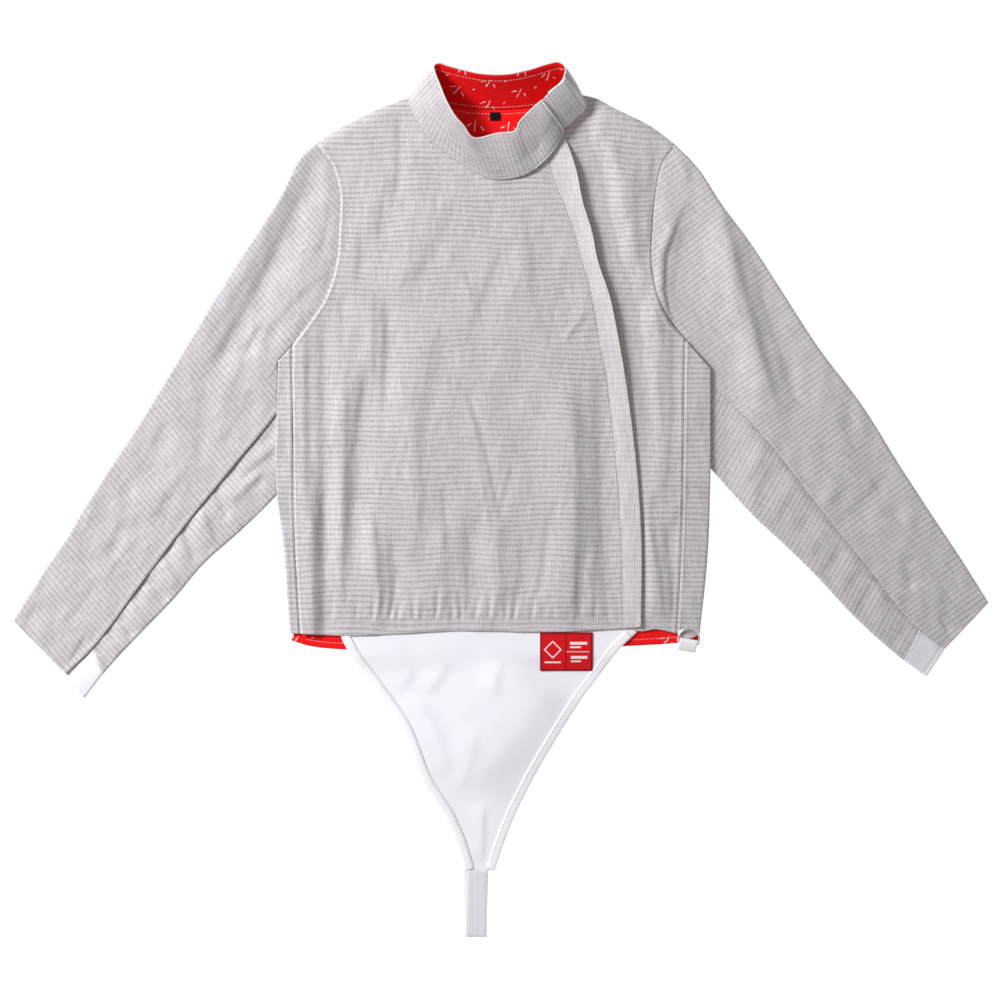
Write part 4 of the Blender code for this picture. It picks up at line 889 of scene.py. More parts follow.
# Depth and reach of the under panel's dip at its seam, on each side
SEAM_DIPS = {-1: (2.4, 11.0), 1: (1.7, 4.0)}
TUCK_RISES = {-1: 2.6, 1: 44.0}
TUCK_HOLLOW = 1.0
TUCK_HOLLOW_WIDTH = 14.0
LEAST_SLEEVE = 2.9
ELASTIC_WALL = 1.2
SLEEVE_LENGTH = 620.0
UNDER_LIFT = 0.12


def head_fold(plan):
    """The fold beside the right armhole: a ridge, a steep drop at its edge, and a slow rise beyond."""
    down = np.array(HEAD_FOLD)[::-1]
    beyond = plan[..., 0] - np.interp(plan[..., 1], down[:, 1], down[:, 0])
    share = soft_step((HEAD_FOLD[0][1] - plan[..., 1]) / 70.0) * soft_step((plan[..., 1] - 150.0) / 40.0)
    ridge = HEAD_RISE * np.exp(-(((beyond + 5.0) / 5.0) ** 2))
    drop = 0.55 * soft_step((beyond + 1.5) / 4.0) + 0.45 * soft_step((beyond - 1.0) / 16.0)
    drop *= 1.0 - soft_step((beyond - 18.0) / 60.0)
    return share * (ridge - HEAD_DROP * drop)


def sleeve_top(side, folds, seam, cuff, seed, armhole=None):
    """The height of a sleeve's upper face, which sinks where the body's side lies over it.

    The upper panel, which has the armhole, stands a little over the under panel at their seam.
    """
    places, heights = zip(*SLEEVE_HEIGHTS)
    cover = SIDE_FOLD_L + ARMHOLE_L[:1] if side < 0 else SIDE_FOLD_R + ARMHOLE_R[:1]
    cover_x, cover_y = zip(*cover)

    def top_of(plan, v):
        height = np.interp(v, places, heights) + creases(folds, plan)
        height = height + crumple(plan, seed=seed, size=28.0, depth=0.3, stretch=1.2)
        height = height + crumple(plan, seed=seed + 1, size=11.0, depth=0.08)
        height = height + groove(cuff, plan, 0.6, 1.4, 4.0)
        if armhole is None:
            height = height + groove(seam, plan, *SEAM_DIPS[side])
        else:
            height = height - groove(seam, plan, SEAM_RAISE, 2.0, 1.5) + groove(armhole, plan, 1.0, 7.0)
            height = height + (head_fold(plan) if side > 0 else 0.0)
        past_cover = side * (plan[..., 0] - np.interp(plan[..., 1], cover_y, cover_x))
        covered = (plan[..., 1] < cover_y[-1]) & (past_cover < 0.0)
        outside = np.where(covered, -1.0, 1.0) * distance_to(cover, plan)
        low, rise_from = TUCK_HEIGHT, -1.5
        if side > 0:
            low = TUCK_HEIGHT - TUCK_HOLLOW * soft_step(outside / TUCK_HOLLOW_WIDTH)
            rise_from = 0.8 * TUCK_HOLLOW_WIDTH
        height = low + (height - low) * soft_step((outside - rise_from) / TUCK_RISES[side])
        return np.maximum(height, LEAST_SLEEVE)

    return top_of


def sleeve_under(seed):
    """The underside of a sleeve, flat on the table but for the hollows of a few soft folds."""
    def under_of(plan):
        return UNDER_LIFT + np.abs(crumple(plan, seed=seed, size=40.0, depth=0.2))

    return under_of


def ribbed_elastic(name, rib=1.3, tone=(0.80, 0.785, 0.84)):
    """Woven white elastic, with fine raised ribs along its length."""
    material, tree, shader = new_material(name, Roughness=0.6, Sheen_Weight=0.1)
    u, v = thread_places(tree)
    wave = maths("SINE", maths("MULTIPLY", u, 2.0 * math.pi / rib))
    fuzz = streaks(u, v, 0.8, 2.0)
    shade = ramp(maths("ADD", maths("MULTIPLY", wave, 0.3), fuzz), 0.1, 0.9)
    dull = tuple(0.93 * part for part in tone)
    dress(shader, mix_colour(shade, dull, tone), wave, 0.5, 0.25)
    return material


elastic = ribbed_elastic("white elastic")
# The tone of each sleeve's lame, 0.98 on the left and 1.05 on the right, is painted shade and painted light
# that even out the lamp's fall-off from left to right.
SLEEVES = [
    ("l", -1, OUTER_EDGE_L, FRONT_SEAM_L, LOWER_EDGE_L, ARMHOLE_L, SLEEVE_FOLDS_L, UNDER_FOLDS_L, UNDER_END_L,
     -49.5, -47.0, 0.98, 31),
    ("r", 1, OUTER_EDGE_R, FRONT_SEAM_R, LOWER_EDGE_R, ARMHOLE_R, SLEEVE_FOLDS_R, UNDER_FOLDS_R, UNDER_END_R,
     36.0, 60.0, 1.05, 35),
]
SLEEVE_PITCH = 5.35
for sleeve in SLEEVES:
    tag, side, outer_edge, front_seam, lower_edge, armhole, folds, under_folds, under_end = sleeve[:9]
    grain_over, grain_under, tone, seed = sleeve[9:]
    sleeve_lame_painted_light = lame_cloth("sleeve lame painted light " + tag, tuple(tone * part for part in LAME), SLEEVE_PITCH, 0.9)
    tuck_bend = (front_seam[0][0], 0.5 * (armhole[0][1] + front_seam[0][1]))
    root = np.vstack([curve(armhole)[::-1], [tuck_bend, front_seam[0]]])
    cuff = [outer_edge[-1], front_seam[-1]]
    under_cuff = [lower_edge[-1], front_seam[-1]]
    under_root = [lower_edge[0], front_seam[0]]
    gap = SEAM_INSET / SLEEVE_LENGTH
    upper = wrapped("sleeve_upper_" + tag, curve(outer_edge), curve(front_seam), root, cuff,
                    np.linspace(gap, 1.0 - gap, 230), 76, 24,
                    sleeve_top(side, folds, curve(front_seam), cuff, seed, curve(armhole)),
                    sleeve_under(seed + 2), LAME_WALL, grain_over, sleeve_lame_painted_light, red_lining)
    under_top = sleeve_top(side, under_folds, curve(front_seam), under_cuff, seed + 4)
    under = wrapped("sleeve_under_" + tag, curve(lower_edge), curve(front_seam), under_root, under_cuff,
                    np.linspace(gap, under_end - gap, 150), 26, 14, under_top, sleeve_under(seed + 6),
                    LAME_WALL, grain_under, sleeve_lame_painted_light, red_lining)
    band = wrapped("cuff_elastic_" + tag, curve(lower_edge), curve(front_seam), under_root, under_cuff,
                   np.linspace(under_end + gap, 1.0 - gap, 22), 16, 10, under_top, sleeve_under(seed + 7),
                   ELASTIC_WALL, grain_under, elastic, elastic, SIDE_SEAM_INSET)
    over = ["sleeve_upper_" + tag, "sleeve_under_" + tag, "cuff_elastic_" + tag, "front_panel", "side_front"]
    elastic_seam = [along(curve(lower_edge), under_end), along(curve(front_seam), under_end)]
    rows = [beside(curve(armhole), 3.0 * side), beside(curve(front_seam), 3.0 * side)]
    rows += [beside(cuff, -3.5 * side), beside(elastic_seam, -1.5 * side)]
    stitch("sleeve_stitches_" + tag, rows, over, grey_thread)
    sew_on(upper, ["sleeve_upper_" + tag])
    sew_on(under, ["sleeve_under_" + tag])
    sew_on(band, ["cuff_elastic_" + tag])

# The collar: a standing band of lame over a red lining, open at the front, its bound rim spread by the
# closing tab. Its front half leans back over the neck, so it shows from above.
LINING_WALL = 1.0
SEAM_GAP = 0.3
COLLAR_BULGE = 1.6
# Stations round the neck from the front end: rim x, y, height and base x, y, height
COLLAR = [
    (44.6, 438.9, 33.0, 67.0, 408.1, 9.8), (32.5, 427.9, 30.0, 56.2, 388.3, 9.3),
    (20.5, 415.5, 26.0, 44.5, 375.0, 9.0), (16.5, 406.5, 23.0, 32.0, 364.5, 8.7),
    (-2.7, 403.7, 22.5, 12.0, 356.8, 8.4), (-28.7, 398.2, 24.5, -13.0, 356.8, 8.4),
    (-40.1, 411.4, 29.5, -41.2, 371.3, 8.4), (-50.3, 423.5, 33.0, -64.3, 389.4, 8.4),
    (-59.9, 441.1, 35.5, -83.0, 408.1, 8.4), (-66.5, 457.6, 36.5, -95.1, 430.4, 8.4),
    (-70.6, 468.5, 37.0, -98.6, 440.5, 7.8), (-71.6, 475.0, 37.0, -97.0, 447.5, 6.6),
    (-67.0, 478.0, 36.5, -89.0, 447.0, 4.6), (-57.5, 475.6, 36.0, -76.0, 441.6, 3.2),
    (-42.6, 471.6, 35.5, -50.0, 435.6, 2.4), (-18.1, 466.6, 35.0, -19.5, 432.0, 2.4),
    (9.8, 466.6, 35.0, 8.0, 432.0, 2.4), (33.1, 471.6, 35.5, 34.0, 434.2, 2.4),
    (52.0, 477.6, 36.5, 60.0, 439.4, 2.8), (64.0, 479.0, 37.0, 77.0, 446.6, 4.2),
    (69.6, 474.0, 37.0, 88.0, 446.0, 6.4), (67.8, 461.5, 35.0, 91.0, 432.5, 8.4),
    (52.0, 447.0, 31.8, 74.5, 415.0, 8.6),
]
# Soft bends of the band: distance from the front end, width, depth outwards
COLLAR_FOLDS = [
    (2.0, 14.0, 3.4), (38.0, 11.0, -2.6), (62.0, 11.0, 1.8), (92.0, 14.0, -0.8), (120.0, 12.0, 0.8),
]
BASE_LIFT = 2.6
TAB_START = (45.4, 439.5, 31.6, 67.8, 408.9, 8.4)
TAB_END_SHARE = 0.9
TAB_LIFT = 0.7
TAB_SINK = 0.9
BAND_PITCH = 4.9
BAND_LINES = 0.9
BAND_STEPS = 120


def collar_surface(stations, levels):
    """The middle surface of the collar and its outward directions at each station and level."""
    levels = np.array(levels)[None, :, None]
    grid = stations[:, None, 3:] * (1.0 - levels) + stations[:, None, :3] * levels
    around = np.gradient(grid, axis=0)
    upward = np.gradient(grid, axis=1)
    outward = unit(-np.cross(around, upward))
    return grid + outward * COLLAR_BULGE * np.sin(math.pi * levels), outward


def band_bends(around, levels):
    """How far the band stands outwards: at its soft bends, and at its free base near the front end."""
    shift = BASE_LIFT * (1.0 - soft_step(levels / 0.4)) * (1.0 - soft_step((around - 46.0) / 26.0))
    for place, width, depth in COLLAR_FOLDS:
        bend = depth * np.exp(-(((around - place) / width) ** 2))
        shift = shift + bend * np.sin(math.pi * np.clip(levels, 0.0, 1.0)) ** 0.7
    return shift


def band_weave(grid):
    """Thread coordinates for a band: the cross threads stand upright, from its base to its rim."""
    around = np.cumsum(np.linalg.norm(np.diff(grid, axis=0, prepend=grid[:1]), axis=-1), axis=0)
    upright = np.cumsum(np.linalg.norm(np.diff(grid, axis=1, prepend=grid[:, :1]), axis=-1), axis=1)
    return np.stack([upright, around.mean(axis=1, keepdims=True) * np.ones_like(upright)], axis=-1)


stations = curve(COLLAR, 9)
levels = np.linspace(-0.035, 0.985, 24)
grid, outward = collar_surface(stations, levels)
band = band_weave(grid)
seam_half = 0.5 * SEAM_GAP
around = band[:, :1, 1]
waves = (crumple(band, seed=41, size=26.0, depth=0.25) + band_bends(around, levels))[..., None] * outward
lining_levels = np.linspace(0.0, 0.965, 20)
lining_grid, lining_outward = collar_surface(stations, lining_levels)
lining_grid = lining_grid + band_bends(around, lining_levels)[..., None] * lining_outward
# The band's lame is painted 0.95 times as light as the rest: painted shade that tones down the lamp-lit band.
collar_lame_painted_shade = lame_cloth("collar lame painted shade", tuple(0.95 * part for part in LAME), BAND_PITCH, BAND_LINES)
outside_face = grid + outward * (seam_half + LAME_WALL) + waves
collar = cloth("collar", outside_face, grid + outward * seam_half, band, collar_lame_painted_shade)
inside_face = lining_grid - lining_outward * (seam_half + LINING_WALL)
collar_lining = cloth("collar_lining", lining_grid - lining_outward * seam_half, inside_face,
                      band_weave(lining_grid)[..., ::-1], red_lining, red_lining)
sew_on(collar, ["collar"])
sew_on(collar_lining, ["collar_lining"])

over, ways = collar_surface(np.array(COLLAR[-4:] + [TAB_START]), (0.0, 0.33, 0.67, 1.0))
tab_end = over[1] + TAB_END_SHARE * (over[2] - over[1])
tucked = over[4] + 0.25 * (over[4] - over[3])
rows = np.stack([tab_end, over[2], 0.5 * (over[2] + over[3]), over[3], tucked])
turns = np.stack([0.5 * (ways[1] + ways[2]), ways[2], 0.5 * (ways[2] + ways[3]), ways[3], ways[4]])
tab_grid = curve(rows.reshape(5, -1), 8).reshape(-1, 4, 3)
tab_ways = curve(turns.reshape(5, -1), 8).reshape(-1, 4, 3)
tab_grid = np.stack([along(row, np.linspace(0.02, 0.98, 16)) for row in tab_grid])
tab_ways = np.stack([along(row, np.linspace(0.02, 0.98, 16)) for row in tab_ways])
to_start = np.linspace(1.0, 0.0, len(tab_grid))[:, None, None]
lift = seam_half + LAME_WALL + SEAM_GAP + TAB_LIFT * soft_step(to_start / 0.3)
lift -= TAB_SINK * (1.0 - soft_step(to_start / 0.2))
tab_face = tab_grid + tab_ways * (lift + LAME_WALL)


def stitch_band(name, surface, ways, rows, material, pitch=3.1, size=(2.1, 0.85, 0.6)):
    """Stitches on a band. Each row runs between two places, given as shares of its length and height."""
    centres, aheads, ups = [], [], []
    limit = np.array(surface.shape[:2]) - 1.0
    for start, end in rows:
        steps = np.linspace(0.0, 1.0, BAND_STEPS)[:, None]
        cells = ((1.0 - steps) * np.array(start) + steps * np.array(end)) * limit
        low = np.minimum(cells.astype(int), (limit - 1).astype(int))
        part = cells - low
        line, way = np.zeros((BAND_STEPS, 3)), np.zeros((BAND_STEPS, 3))
        for i in (0, 1):
            for j in (0, 1):
                weight = (np.abs(1 - i - part[:, 0]) * np.abs(1 - j - part[:, 1]))[:, None]
                line += weight * surface[low[:, 0] + i, low[:, 1] + j]
                way += weight * ways[low[:, 0] + i, low[:, 1] + j]
        total = np.sum(np.linalg.norm(np.diff(line, axis=0), axis=1))
        shares = (np.arange(int(total / pitch)) + 0.5) / int(total / pitch)
        centres.append(along(line, shares))
        aheads.append(along(line, shares + 0.002) - along(line, shares - 0.002))
        ups.append(along(way + 1e-6 * steps, shares))
    place_beads(name, np.concatenate(centres), np.concatenate(aheads), np.concatenate(ups), material, size)


# The tab's lame is painted 1.2 times as light as the rest: a painted highlight on the tab, which faces away
# from the lamp.
tab_lame_painted_highlight = lame_cloth("tab lame painted highlight", tuple(1.2 * part for part in LAME), BAND_PITCH, BAND_LINES)
collar_tab = cloth("collar_tab", tab_face, tab_grid + tab_ways * lift, band_weave(tab_grid), tab_lame_painted_highlight)
sew_on(collar_tab, ["collar_tab"])


def turned_edge(name, line, radius, material):
    """The turned edge of the cloth as a thin roll along a line."""
    line = np.array(line, float)
    ahead = unit(np.gradient(line, axis=0))
    aside = unit(np.cross(ahead, (0.0, 0.0, 1.0)))
    above = np.cross(aside, ahead)
    turns = np.linspace(0.0, 2.0 * math.pi, 8, endpoint=False)[:, None]
    rings = [line + radius * (math.cos(turn) * aside + math.sin(turn) * above) for turn in turns[:, 0]]
    points = np.stack(rings, axis=1).reshape(-1, 3)
    index = np.arange(len(points)).reshape(-1, 8)
    onward = np.roll(index, -1, axis=1)
    faces = np.stack([index[:-1], index[1:], onward[1:], onward[:-1]], axis=-1).reshape(-1, 4).tolist()
    faces += [index[0].tolist(), index[-1, ::-1].tolist()]
    sew_on(mesh_object(name, points, faces, material))


# The rolls on the rims are painted lighter than the lame: a painted highlight where the turned edges catch
# the light.
edge_lame_painted_highlight, tree, shader = new_material("turned edge", Roughness=0.55, Specular_IOR_Level=0.3)
fine = add_node(tree, "TexNoise", None, Scale=900.0, Detail=2.0)
tree.links.new(mix_colour(ramp(fine, 0.35, 0.65), (0.66, 0.63, 0.66), (0.82, 0.79, 0.82)),
               shader.inputs["Base Color"])
middle_face = grid + outward * (seam_half + 0.5 * LAME_WALL) + waves
rim_line = np.vstack([middle_face[24:0:-1, 0], middle_face[0, 1:-1], middle_face[:, -1]])
turned_edge("collar_rim", rim_line, 0.95, edge_lame_painted_highlight)
tab_middle = tab_grid + tab_ways * (lift + 0.5 * LAME_WALL)
tab_line = np.vstack([tab_middle[-4:0:-1, 0], tab_middle[0, 1:-1], tab_middle[:-4, -1]])
turned_edge("tab_rim", tab_line, 0.85, edge_lame_painted_highlight)
rows = [((0.01, 0.10), (0.88, 0.10)), ((0.01, 0.03), (0.42, 0.03)), ((0.0, 0.93), (0.46, 0.93)),
        ((0.018, 0.05), (0.018, 0.95))]
stitch_band("collar_stitches", outside_face, outward, rows, grey_thread)
rows = [((0.08, 0.08), (0.92, 0.08)), ((0.92, 0.08), (0.92, 0.92)), ((0.92, 0.92), (0.08, 0.92)),
        ((0.08, 0.92), (0.08, 0.08))]
stitch_band("tab_stitches", tab_face, tab_ways, rows, grey_thread)
white_thread = sewing_thread("white thread", (0.86, 0.80, 0.80))
rows = [((0.42, 0.84), (0.97, 0.84)), ((0.5, 0.06), (0.92, 0.06))]
stitch_band("lining_stitches", inside_face, -lining_outward, rows, white_thread, pitch=3.4,
            size=(2.4, 0.7, 0.5))

# The red lining that shows: woven cloth sewn inside the back, seen in the neck, where a small black tag is
# stitched to it, and along the back hem, which is longer than the front's.
NECK_SPAN = (-66.0, 54.0)
NECK_LOW_SPAN = (-52.0, 40.0)
NECK_LOW = 386.0
NECK_REACH = 4.5
NECK_STITCH_SPAN = (-56.0, 44.0)
NECK_STITCH_DROP = 3.2
NECK_GRAIN = 20.0
NECK_TURN_DROP = 1.0
NECK_TURN_WIDTH = 6.0
HEM_SPAN = (-228.6, 216.0)
HEM_FOLD_SPAN = (-225.5, 211.0)
HEM_FOLD_Y = -134.0
HEM_TURN = 0.8
HEM_STEPS = 90
HEM_STITCH_AWAY = 6.0
LINING_LEVEL = LAME_WALL + SEAM_GAP + LINING_WALL
SIZE_TAG_X = (-11.2, -0.3)
SIZE_TAG_Y = (419.0, 427.6)
TAG_WALL = 0.8


def between(bottom, top, rows, columns):
    """A grid of plan points from one line up to another."""
    return fill([bottom[0], top[0]], [bottom[-1], top[-1]], bottom, top, rows, columns)


def line_at_x(line, x):
    """Points of a line at the given X."""
    line = np.array(line, float)
    return np.stack([x, np.interp(x, line[:, 0], line[:, 1])], axis=-1)


top = line_at_x(curve(BACK_NECK), np.linspace(*NECK_SPAN, 40)) + (0.0, NECK_REACH)
bottom = [(x, NECK_LOW) for x in NECK_LOW_SPAN]
plan = between(bottom, top, 24, 44)
height = LINING_LEVEL + crumple(plan, seed=51, size=22.0, depth=0.12)
height -= NECK_TURN_DROP * soft_step(1.0 - distance_to(top, plan) / NECK_TURN_WIDTH)
neck_lining = panel("neck_lining", plan, height, LINING_WALL, red_lining, weave=grain(plan, NECK_GRAIN))
sew_on(neck_lining, ["neck_lining"])
neck_row = line_at_x(curve(BACK_NECK), np.linspace(*NECK_STITCH_SPAN, 30)) - (0.0, NECK_STITCH_DROP)
stitch("neck_stitches", [neck_row], ["neck_lining"], white_thread, size=(2.4, 0.7, 0.5), pitch=3.4)

low = line_at_x(curve(BACK_HEM), np.linspace(*HEM_SPAN, HEM_STEPS)) + (0.0, HEM_TURN)
high = np.stack([np.linspace(*HEM_FOLD_SPAN, HEM_STEPS), np.full(HEM_STEPS, HEM_FOLD_Y)], axis=-1)
plan = between(low, high, 14, 150)
height = LINING_LEVEL + crumple(plan, seed=52, size=20.0, depth=0.10) + groove(low, plan, 0.3, 1.2, 7.0)
hem_lining = panel("hem_lining", plan, height, LINING_WALL, red_lining)
sew_on(hem_lining, ["hem_lining"])
hem_row = low[3:-3] + (0.0, HEM_STITCH_AWAY)
stitch("hem_lining_stitches", [hem_row], ["hem_lining"], white_thread, size=(2.4, 0.6, 0.5), pitch=3.4)

black_weave, tree, shader = new_material("black tag", Roughness=0.7, Specular_IOR_Level=0.1)
u, v = thread_places(tree)
shade = ramp(streaks(u, v, 0.5, 2.0), 0.3, 0.7)
tree.links.new(mix_colour(shade, (0.002, 0.002, 0.0025), (0.008, 0.008, 0.009)), shader.inputs["Base Color"])
plan = between(*([(x, y) for x in SIZE_TAG_X] for y in SIZE_TAG_Y), 10, 16)
height = LINING_LEVEL + SEAM_GAP + TAG_WALL + crumple(plan, seed=53, size=12.0, depth=0.1)
size_tag = panel("size_tag", plan, height, TAG_WALL, black_weave)
sew_on(size_tag, ["size_tag"])

# The crotch bib: smooth white satin-finished cloth, sewn in under the front hem, with bound edges. It passes
# between the legs and ends in a loop of elastic.
BIB_WALL = 1.8
BIB_TOP = [
    (-178.0, -139.0), (-90.0, -137.6), (20.0, -137.6), (100.0, -138.0), (138.0, -139.0), (150.5, -143.8),
]
BIB_EDGE_L = [
    (-178.0, -139.0), (-175.4, -148.5), (-167.7, -163.9), (-140.0, -203.0), (-110.5, -245.3),
    (-83.6, -310.2), (-58.4, -350.9), (-39.2, -403.4), (-38.4, -406.6),
]
BIB_EDGE_R = [
    (150.5, -143.8), (133.0, -160.0), (112.0, -187.0), (91.6, -214.0), (64.4, -256.3), (33.2, -310.2),
    (13.3, -350.9), (-1.8, -391.6), (-6.8, -406.6),
]
BIB_LEVEL = 2.9
BIB_DROP = (-167.0, -192.0)
BIB_FOLDS = [
    (50, -196, -42, -308, 8, 60, 6.0), (-100, -215, -60, -300, 6, 16, 1.4),
    (-130, -168, -96, -196, 4, 12, 1.2), (-60, -170, -84, -210, 4, 12, 1.2),
    (4, -168, -6, -214, -4, 10, 1.1), (-30, -250, -50, -320, 4, 14, 0.8), (-20, -335, -22, -395, 0, 8, 1.0),
]
BINDING_WIDTH = 9.0
BINDING_ROUND = 0.35
BINDING_TOP_Y = -149.0


def bib_base(plan):
    """The underside of the bib: over the hem at the top, down on the table, up again under its folds."""
    drop = soft_step((BIB_DROP[0] - plan[..., 1]) / (BIB_DROP[0] - BIB_DROP[1]))
    return BIB_LEVEL * (1.0 - drop) + drop * (0.1 + np.maximum(creases(BIB_FOLDS, plan), 0.0))


def white_satin(name, tone, roughness):
    """Smooth close-woven white cloth with a soft satin shine."""
    material, tree, shader = new_material(name, Roughness=roughness, Sheen_Weight=0.2, Sheen_Roughness=0.3)
    u, v = thread_places(tree)
    fine = streaks(u, v, 1.2, 1.2, 3.0)
    broad = streaks(u, v, 60.0, 60.0)
    dull = (tone[0] * 0.95, tone[1] * 0.95, tone[2] * 0.97)
    share = maths("MULTIPLY", maths("ADD", ramp(fine, 0.3, 0.7), ramp(broad, 0.3, 0.7)), 0.5)
    dress(shader, mix_colour(share, dull, tone), fine, 0.25, 0.15)
    return material


satin = white_satin("white satin", (0.88, 0.86, 0.915), 0.42)
binding_cloth = white_satin("white binding", (0.90, 0.885, 0.92), 0.6)
bib_thread = sewing_thread("bib thread", (0.70, 0.69, 0.74))
edge_l, edge_r = curve(BIB_EDGE_L), curve(BIB_EDGE_R)
bottom_edge = [BIB_EDGE_L[-1], BIB_EDGE_R[-1]]
plan = inset(fill(edge_l[::-1], edge_r[::-1], bottom_edge, curve(BIB_TOP), 120, 90))
base = bib_base(plan)
height = base + BIB_WALL + crumple(plan, seed=61, size=46.0, depth=0.12)
crotch_bib = cloth("crotch_bib", raised(plan, height), raised(plan, base), grain(plan, 0.0), satin)
sew_on(crotch_bib, ["crotch_bib"])

for tag, edge in (("l", edge_l), ("r", edge_r)):
    edge = edge[edge[:, 1] < BINDING_TOP_Y]
    side = leftward(edge) * (1.0 if tag == "l" else -1.0)
    plan = fill(edge, edge + side * BINDING_WIDTH, [edge[0], edge[0] + side[0] * BINDING_WIDTH],
                [edge[-1], edge[-1] + side[-1] * BINDING_WIDTH], 120, 9)
    across = np.linspace(-1.0, 1.0, 9)[None, :]
    height = bib_base(plan) + BIB_WALL + SEAM_GAP + LINING_WALL
    height += crumple(plan, seed=62, size=14.0, depth=0.06) - BINDING_ROUND * across**4
    binding = panel("bib_binding_" + tag, plan, height, 0.9 * LINING_WALL, binding_cloth)
    sew_on(binding, ["bib_binding_" + tag])
    row = (edge + side * (BINDING_WIDTH - 1.6))[6:-4]
    stitch("binding_stitches_" + tag, [row], ["bib_binding_" + tag], bib_thread, size=(2.3, 0.7, 0.5),
           pitch=3.2)

# The loop: a length of white ribbed elastic, doubled back on itself and sewn in at the end of the bib. It
# fastens the bib once that is drawn between the legs.
LOOP_WIDTH = 22.0
LOOP_LENGTH = 73.0
LOOP_X = -27.0
LOOP_TOP_Y = -407.0
LOOP_SHIFT = 3.3
LOOP_LIFT = 0.1
LOOP_STEPS = 24
turn_radius = ELASTIC_WALL + 0.5 * SEAM_GAP
far = LOOP_TOP_Y - LOOP_LENGTH + turn_radius
runs = np.linspace(LOOP_TOP_Y, far, LOOP_STEPS)
angles = np.radians(np.linspace(-90.0, 90.0, 9))[1:-1]
out_y = np.concatenate([runs, far - turn_radius * np.cos(angles), runs[::-1]])
out_z = np.concatenate([np.zeros(LOOP_STEPS), turn_radius * (1.0 + np.sin(angles)),
                        np.full(LOOP_STEPS, 2.0 * turn_radius)])
in_y = np.concatenate([runs, far - seam_half * np.cos(angles), runs[::-1]])
in_z = np.concatenate([np.full(LOOP_STEPS, ELASTIC_WALL), turn_radius + seam_half * np.sin(angles),
                       np.full(LOOP_STEPS, turn_radius + seam_half)])
shares = np.linspace(0.0, 1.0, len(out_y))
across = np.linspace(-0.5, 0.5, 10)
x = LOOP_X + LOOP_SHIFT * (shares[:, None] - 0.5) + LOOP_WIDTH * across[None, :]
outer = np.stack([x, out_y[:, None] + 0 * x, out_z[:, None] + LOOP_LIFT + 0 * x], axis=-1)
inner = np.stack([x, in_y[:, None] + 0 * x, in_z[:, None] + LOOP_LIFT + 0 * x], axis=-1)
run_length = np.cumsum(np.abs(np.diff(out_y, prepend=out_y[0])))
weave = np.stack([x, run_length[:, None] + 0 * x], axis=-1)
strap_loop = cloth("strap_loop", outer, inner, weave, elastic)
sew_on(strap_loop, ["strap_loop"])

# The label: a woven red patch with a plain lozenge and bars in white, creased down its middle, where a dark
# line of painted shade stands for the crease, and stitched round its edge to the top of the bib.
LABEL_X = (44.0, 101.0)
LABEL_Y = (-186.5, -145.0)
# The plain bars on the label: centre, half size
LABEL_BARS = [((86.0, -156.5), (9.5, 1.5)), ((82.5, -160.8), (6.0, 0.9)), ((85.0, -165.8), (12.5, 0.35)),
              ((86.5, -172.0), (9.0, 1.5)), ((83.0, -176.4), (5.5, 0.9)), ((57.5, -177.5), (9.0, 0.9))]
LOZENGE_CENTRE = (57.5, -163.5)
LOZENGE_REACH = 9.0
LABEL_CREASE_SHADE_X = 72.1
LABEL_FIELD = ((72.5, -165.75), (27.0, 19.3))
LABEL_STITCH_INSET = 1.2
plan = between(*([(x, y) for x in LABEL_X] for y in LABEL_Y), 24, 32)
height = bib_base(plan) + BIB_WALL + SEAM_GAP + LINING_WALL + crumple(plan, seed=71, size=26.0, depth=0.10)
label_red = red_cloth("label red", (0.70, 0.008, 0.014), printed=False)
tree = label_red.node_tree
u, v = thread_places(tree)


def patch(centre, half_size):
    """A plain bar on the label."""
    inside = 1.0
    for place, middle, reach in zip((u, v), centre, half_size):
        away = maths("ABSOLUTE", maths("SUBTRACT", place, middle))
        inside = maths("MULTIPLY", inside, ramp(away, reach - 0.35, reach + 0.35, 1.0, 0.0))
    return inside


motif = patch(*LABEL_BARS[0])
for bar in LABEL_BARS[1:]:
    motif = maths("MAXIMUM", motif, patch(*bar))
across = maths("ABSOLUTE", maths("SUBTRACT", u, LOZENGE_CENTRE[0]))
upward = maths("ABSOLUTE", maths("SUBTRACT", v, LOZENGE_CENTRE[1]))
rim = maths("ABSOLUTE", maths("SUBTRACT", maths("ADD", across, upward), LOZENGE_REACH))
motif = maths("MAXIMUM", motif, ramp(rim, 0.5, 1.3, 1.0, 0.0))
shader = tree.nodes["Principled BSDF"]
cloth_colour = shader.inputs["Base Color"].links[0].from_socket
woven = mix_colour(maths("MULTIPLY", motif, 0.88), cloth_colour, (0.92, 0.82, 0.82))
# The dark line down the crease is painted shade; the darker border is the label's weave.
crease_painted_shade = ramp(maths("ABSOLUTE", maths("SUBTRACT", u, LABEL_CREASE_SHADE_X)), 0.3, 1.2, 0.75, 0.0)
border = maths("SUBTRACT", 1.0, patch(*LABEL_FIELD))
dark = maths("MAXIMUM", crease_painted_shade, maths("MULTIPLY", border, 0.7))
tree.links.new(mix_colour(dark, woven, (0.20, 0.0, 0.006)), shader.inputs["Base Color"])
label = panel("label", plan, height, LINING_WALL, label_red)
sew_on(label, ["label"])
x0, x1 = LABEL_X[0] + LABEL_STITCH_INSET, LABEL_X[1] - LABEL_STITCH_INSET
y0, y1 = LABEL_Y[0] + LABEL_STITCH_INSET, LABEL_Y[1] - LABEL_STITCH_INSET
label_row = [(x0, y1), (x0, y0), (x1, y0), (x1, y1), (x0, y1)]
dark_thread = sewing_thread("dark red thread", (0.16, 0.02, 0.035))
stitch("label_stitches", [label_row], ["label"], dark_thread, size=(1.9, 0.6, 0.5), pitch=2.6)

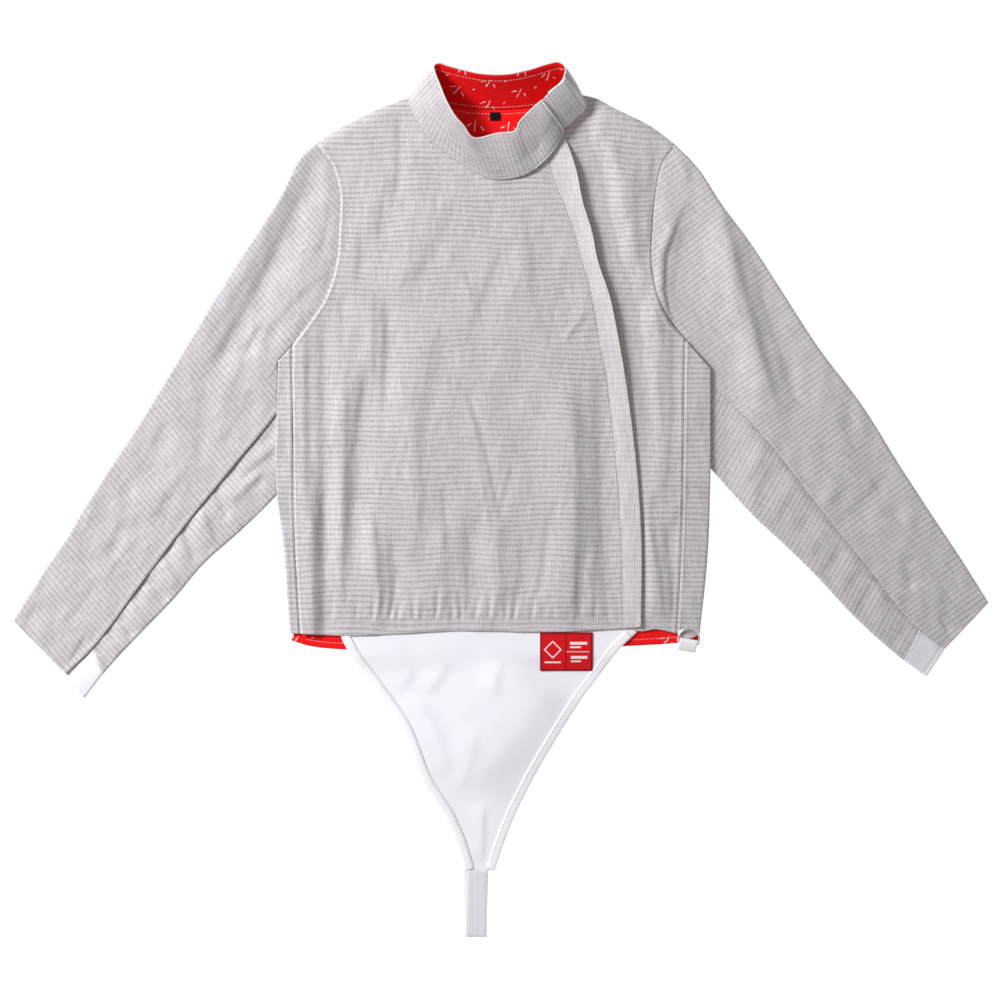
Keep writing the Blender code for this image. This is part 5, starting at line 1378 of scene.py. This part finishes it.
# The D-ring and its tab: bent chromed wire that swings in a folded white satin tape at the hem. A body wire
# is clipped to it.
RING_BAR = (206.3, -156.5, 5.8)
RING_TURN = -10.0
RING_TILT = 7.0
RING_WIRE = 2.5
RING_HALF_WIDTH = 11.75
RING_HEIGHT = 16.5
RING_CORNER = 3.0
TAB_LOOP_WIDTH = 20.0
TAB_LOOP_WALL = 0.9
# The roll of the tape seen from its side: away from the bar towards the collar, and up
ROLL_PROFILE = [
    (-0.4, -5.3), (-4.5, -5.4), (-8.0, -4.9), (-9.6, -2.6), (-8.6, 0.2), (-5.5, 2.0), (-2.0, 3.0),
    (1.5, 3.0), (4.2, 1.6), (4.9, -0.6), (3.9, -2.2),
]


def ring_frame(points):
    """Points given along the bar, away from it and up, placed on the jacket."""
    turn = math.radians(RING_TURN)
    points = np.array(points, float)
    x = points[..., 0] * math.cos(turn) - points[..., 1] * math.sin(turn)
    y = points[..., 0] * math.sin(turn) + points[..., 1] * math.cos(turn)
    return np.stack([x, y, points[..., 2]], axis=-1) + np.array(RING_BAR)


profile = curve(ROLL_PROFILE, 6)
outer, inner = profile, profile - TAB_LOOP_WALL * leftward(profile)
across = np.linspace(-0.5, 0.5, 12) * (TAB_LOOP_WIDTH - 1.2)
outer = ring_frame([[(x, y, z) for x in across] for y, z in outer])
inner = ring_frame([[(x, y, z) for x in across] for y, z in inner])
tape = white_satin("satin tape", (0.86, 0.85, 0.87), 0.3)
ring_tab = cloth("ring_tab", outer, inner, band_weave(outer), tape)
sew_on(ring_tab, ["ring_tab"])

reach = RING_HALF_WIDTH - RING_CORNER
arc_y = RING_HEIGHT - RING_HALF_WIDTH
path = [(x, 0.0) for x in np.linspace(-reach, reach, 7)]
for degrees in np.linspace(-75.0, 0.0, 6):
    turn = math.radians(degrees)
    path.append((reach + RING_CORNER * math.cos(turn), RING_CORNER + RING_CORNER * math.sin(turn)))
for degrees in np.linspace(0.0, 180.0, 40):
    turn = math.radians(degrees)
    path.append((RING_HALF_WIDTH * math.cos(turn), arc_y + RING_HALF_WIDTH * math.sin(turn)))
for degrees in np.linspace(180.0, 255.0, 6):
    turn = math.radians(degrees)
    path.append((-reach + RING_CORNER * math.cos(turn), RING_CORNER + RING_CORNER * math.sin(turn)))
path = np.array(path)
ahead = unit(np.roll(path, -1, axis=0) - np.roll(path, 1, axis=0))
tilt = math.radians(RING_TILT)
SIDES = 20
points = []
for (x, y), (dx, dy) in zip(path, ahead):
    for side in range(SIDES):
        angle = 2.0 * math.pi * side / SIDES
        flat = 0.5 * RING_WIRE * math.cos(angle)
        rise = 0.5 * RING_WIRE * math.sin(angle)
        away = y + dx * flat
        points.append((x - dy * flat, away * math.cos(tilt) - rise * math.sin(tilt),
                       away * math.sin(tilt) + rise * math.cos(tilt)))
index = np.arange(len(points)).reshape(len(path), SIDES)
onward = np.roll(index, -1, axis=0)
faces = np.stack([index, onward, np.roll(onward, -1, axis=1), np.roll(index, -1, axis=1)], axis=-1)
faces = faces.reshape(-1, 4)
chrome, tree, shader = new_material("chromed wire", Metallic=1.0)
scratches = add_node(tree, "TexNoise", None, Scale=900.0, Detail=3.0)
tree.links.new(ramp(scratches, 0.3, 0.7, 0.22, 0.38), shader.inputs["Roughness"])
shine = mix_colour(ramp(scratches, 0.3, 0.7), (0.90, 0.89, 0.87), (0.98, 0.97, 0.95))
tree.links.new(shine, shader.inputs["Base Color"])
ring = mesh_object("d_ring_wire", ring_frame(points), faces.tolist(), chrome)
sew_on(ring, ["d_ring"], body="ring")
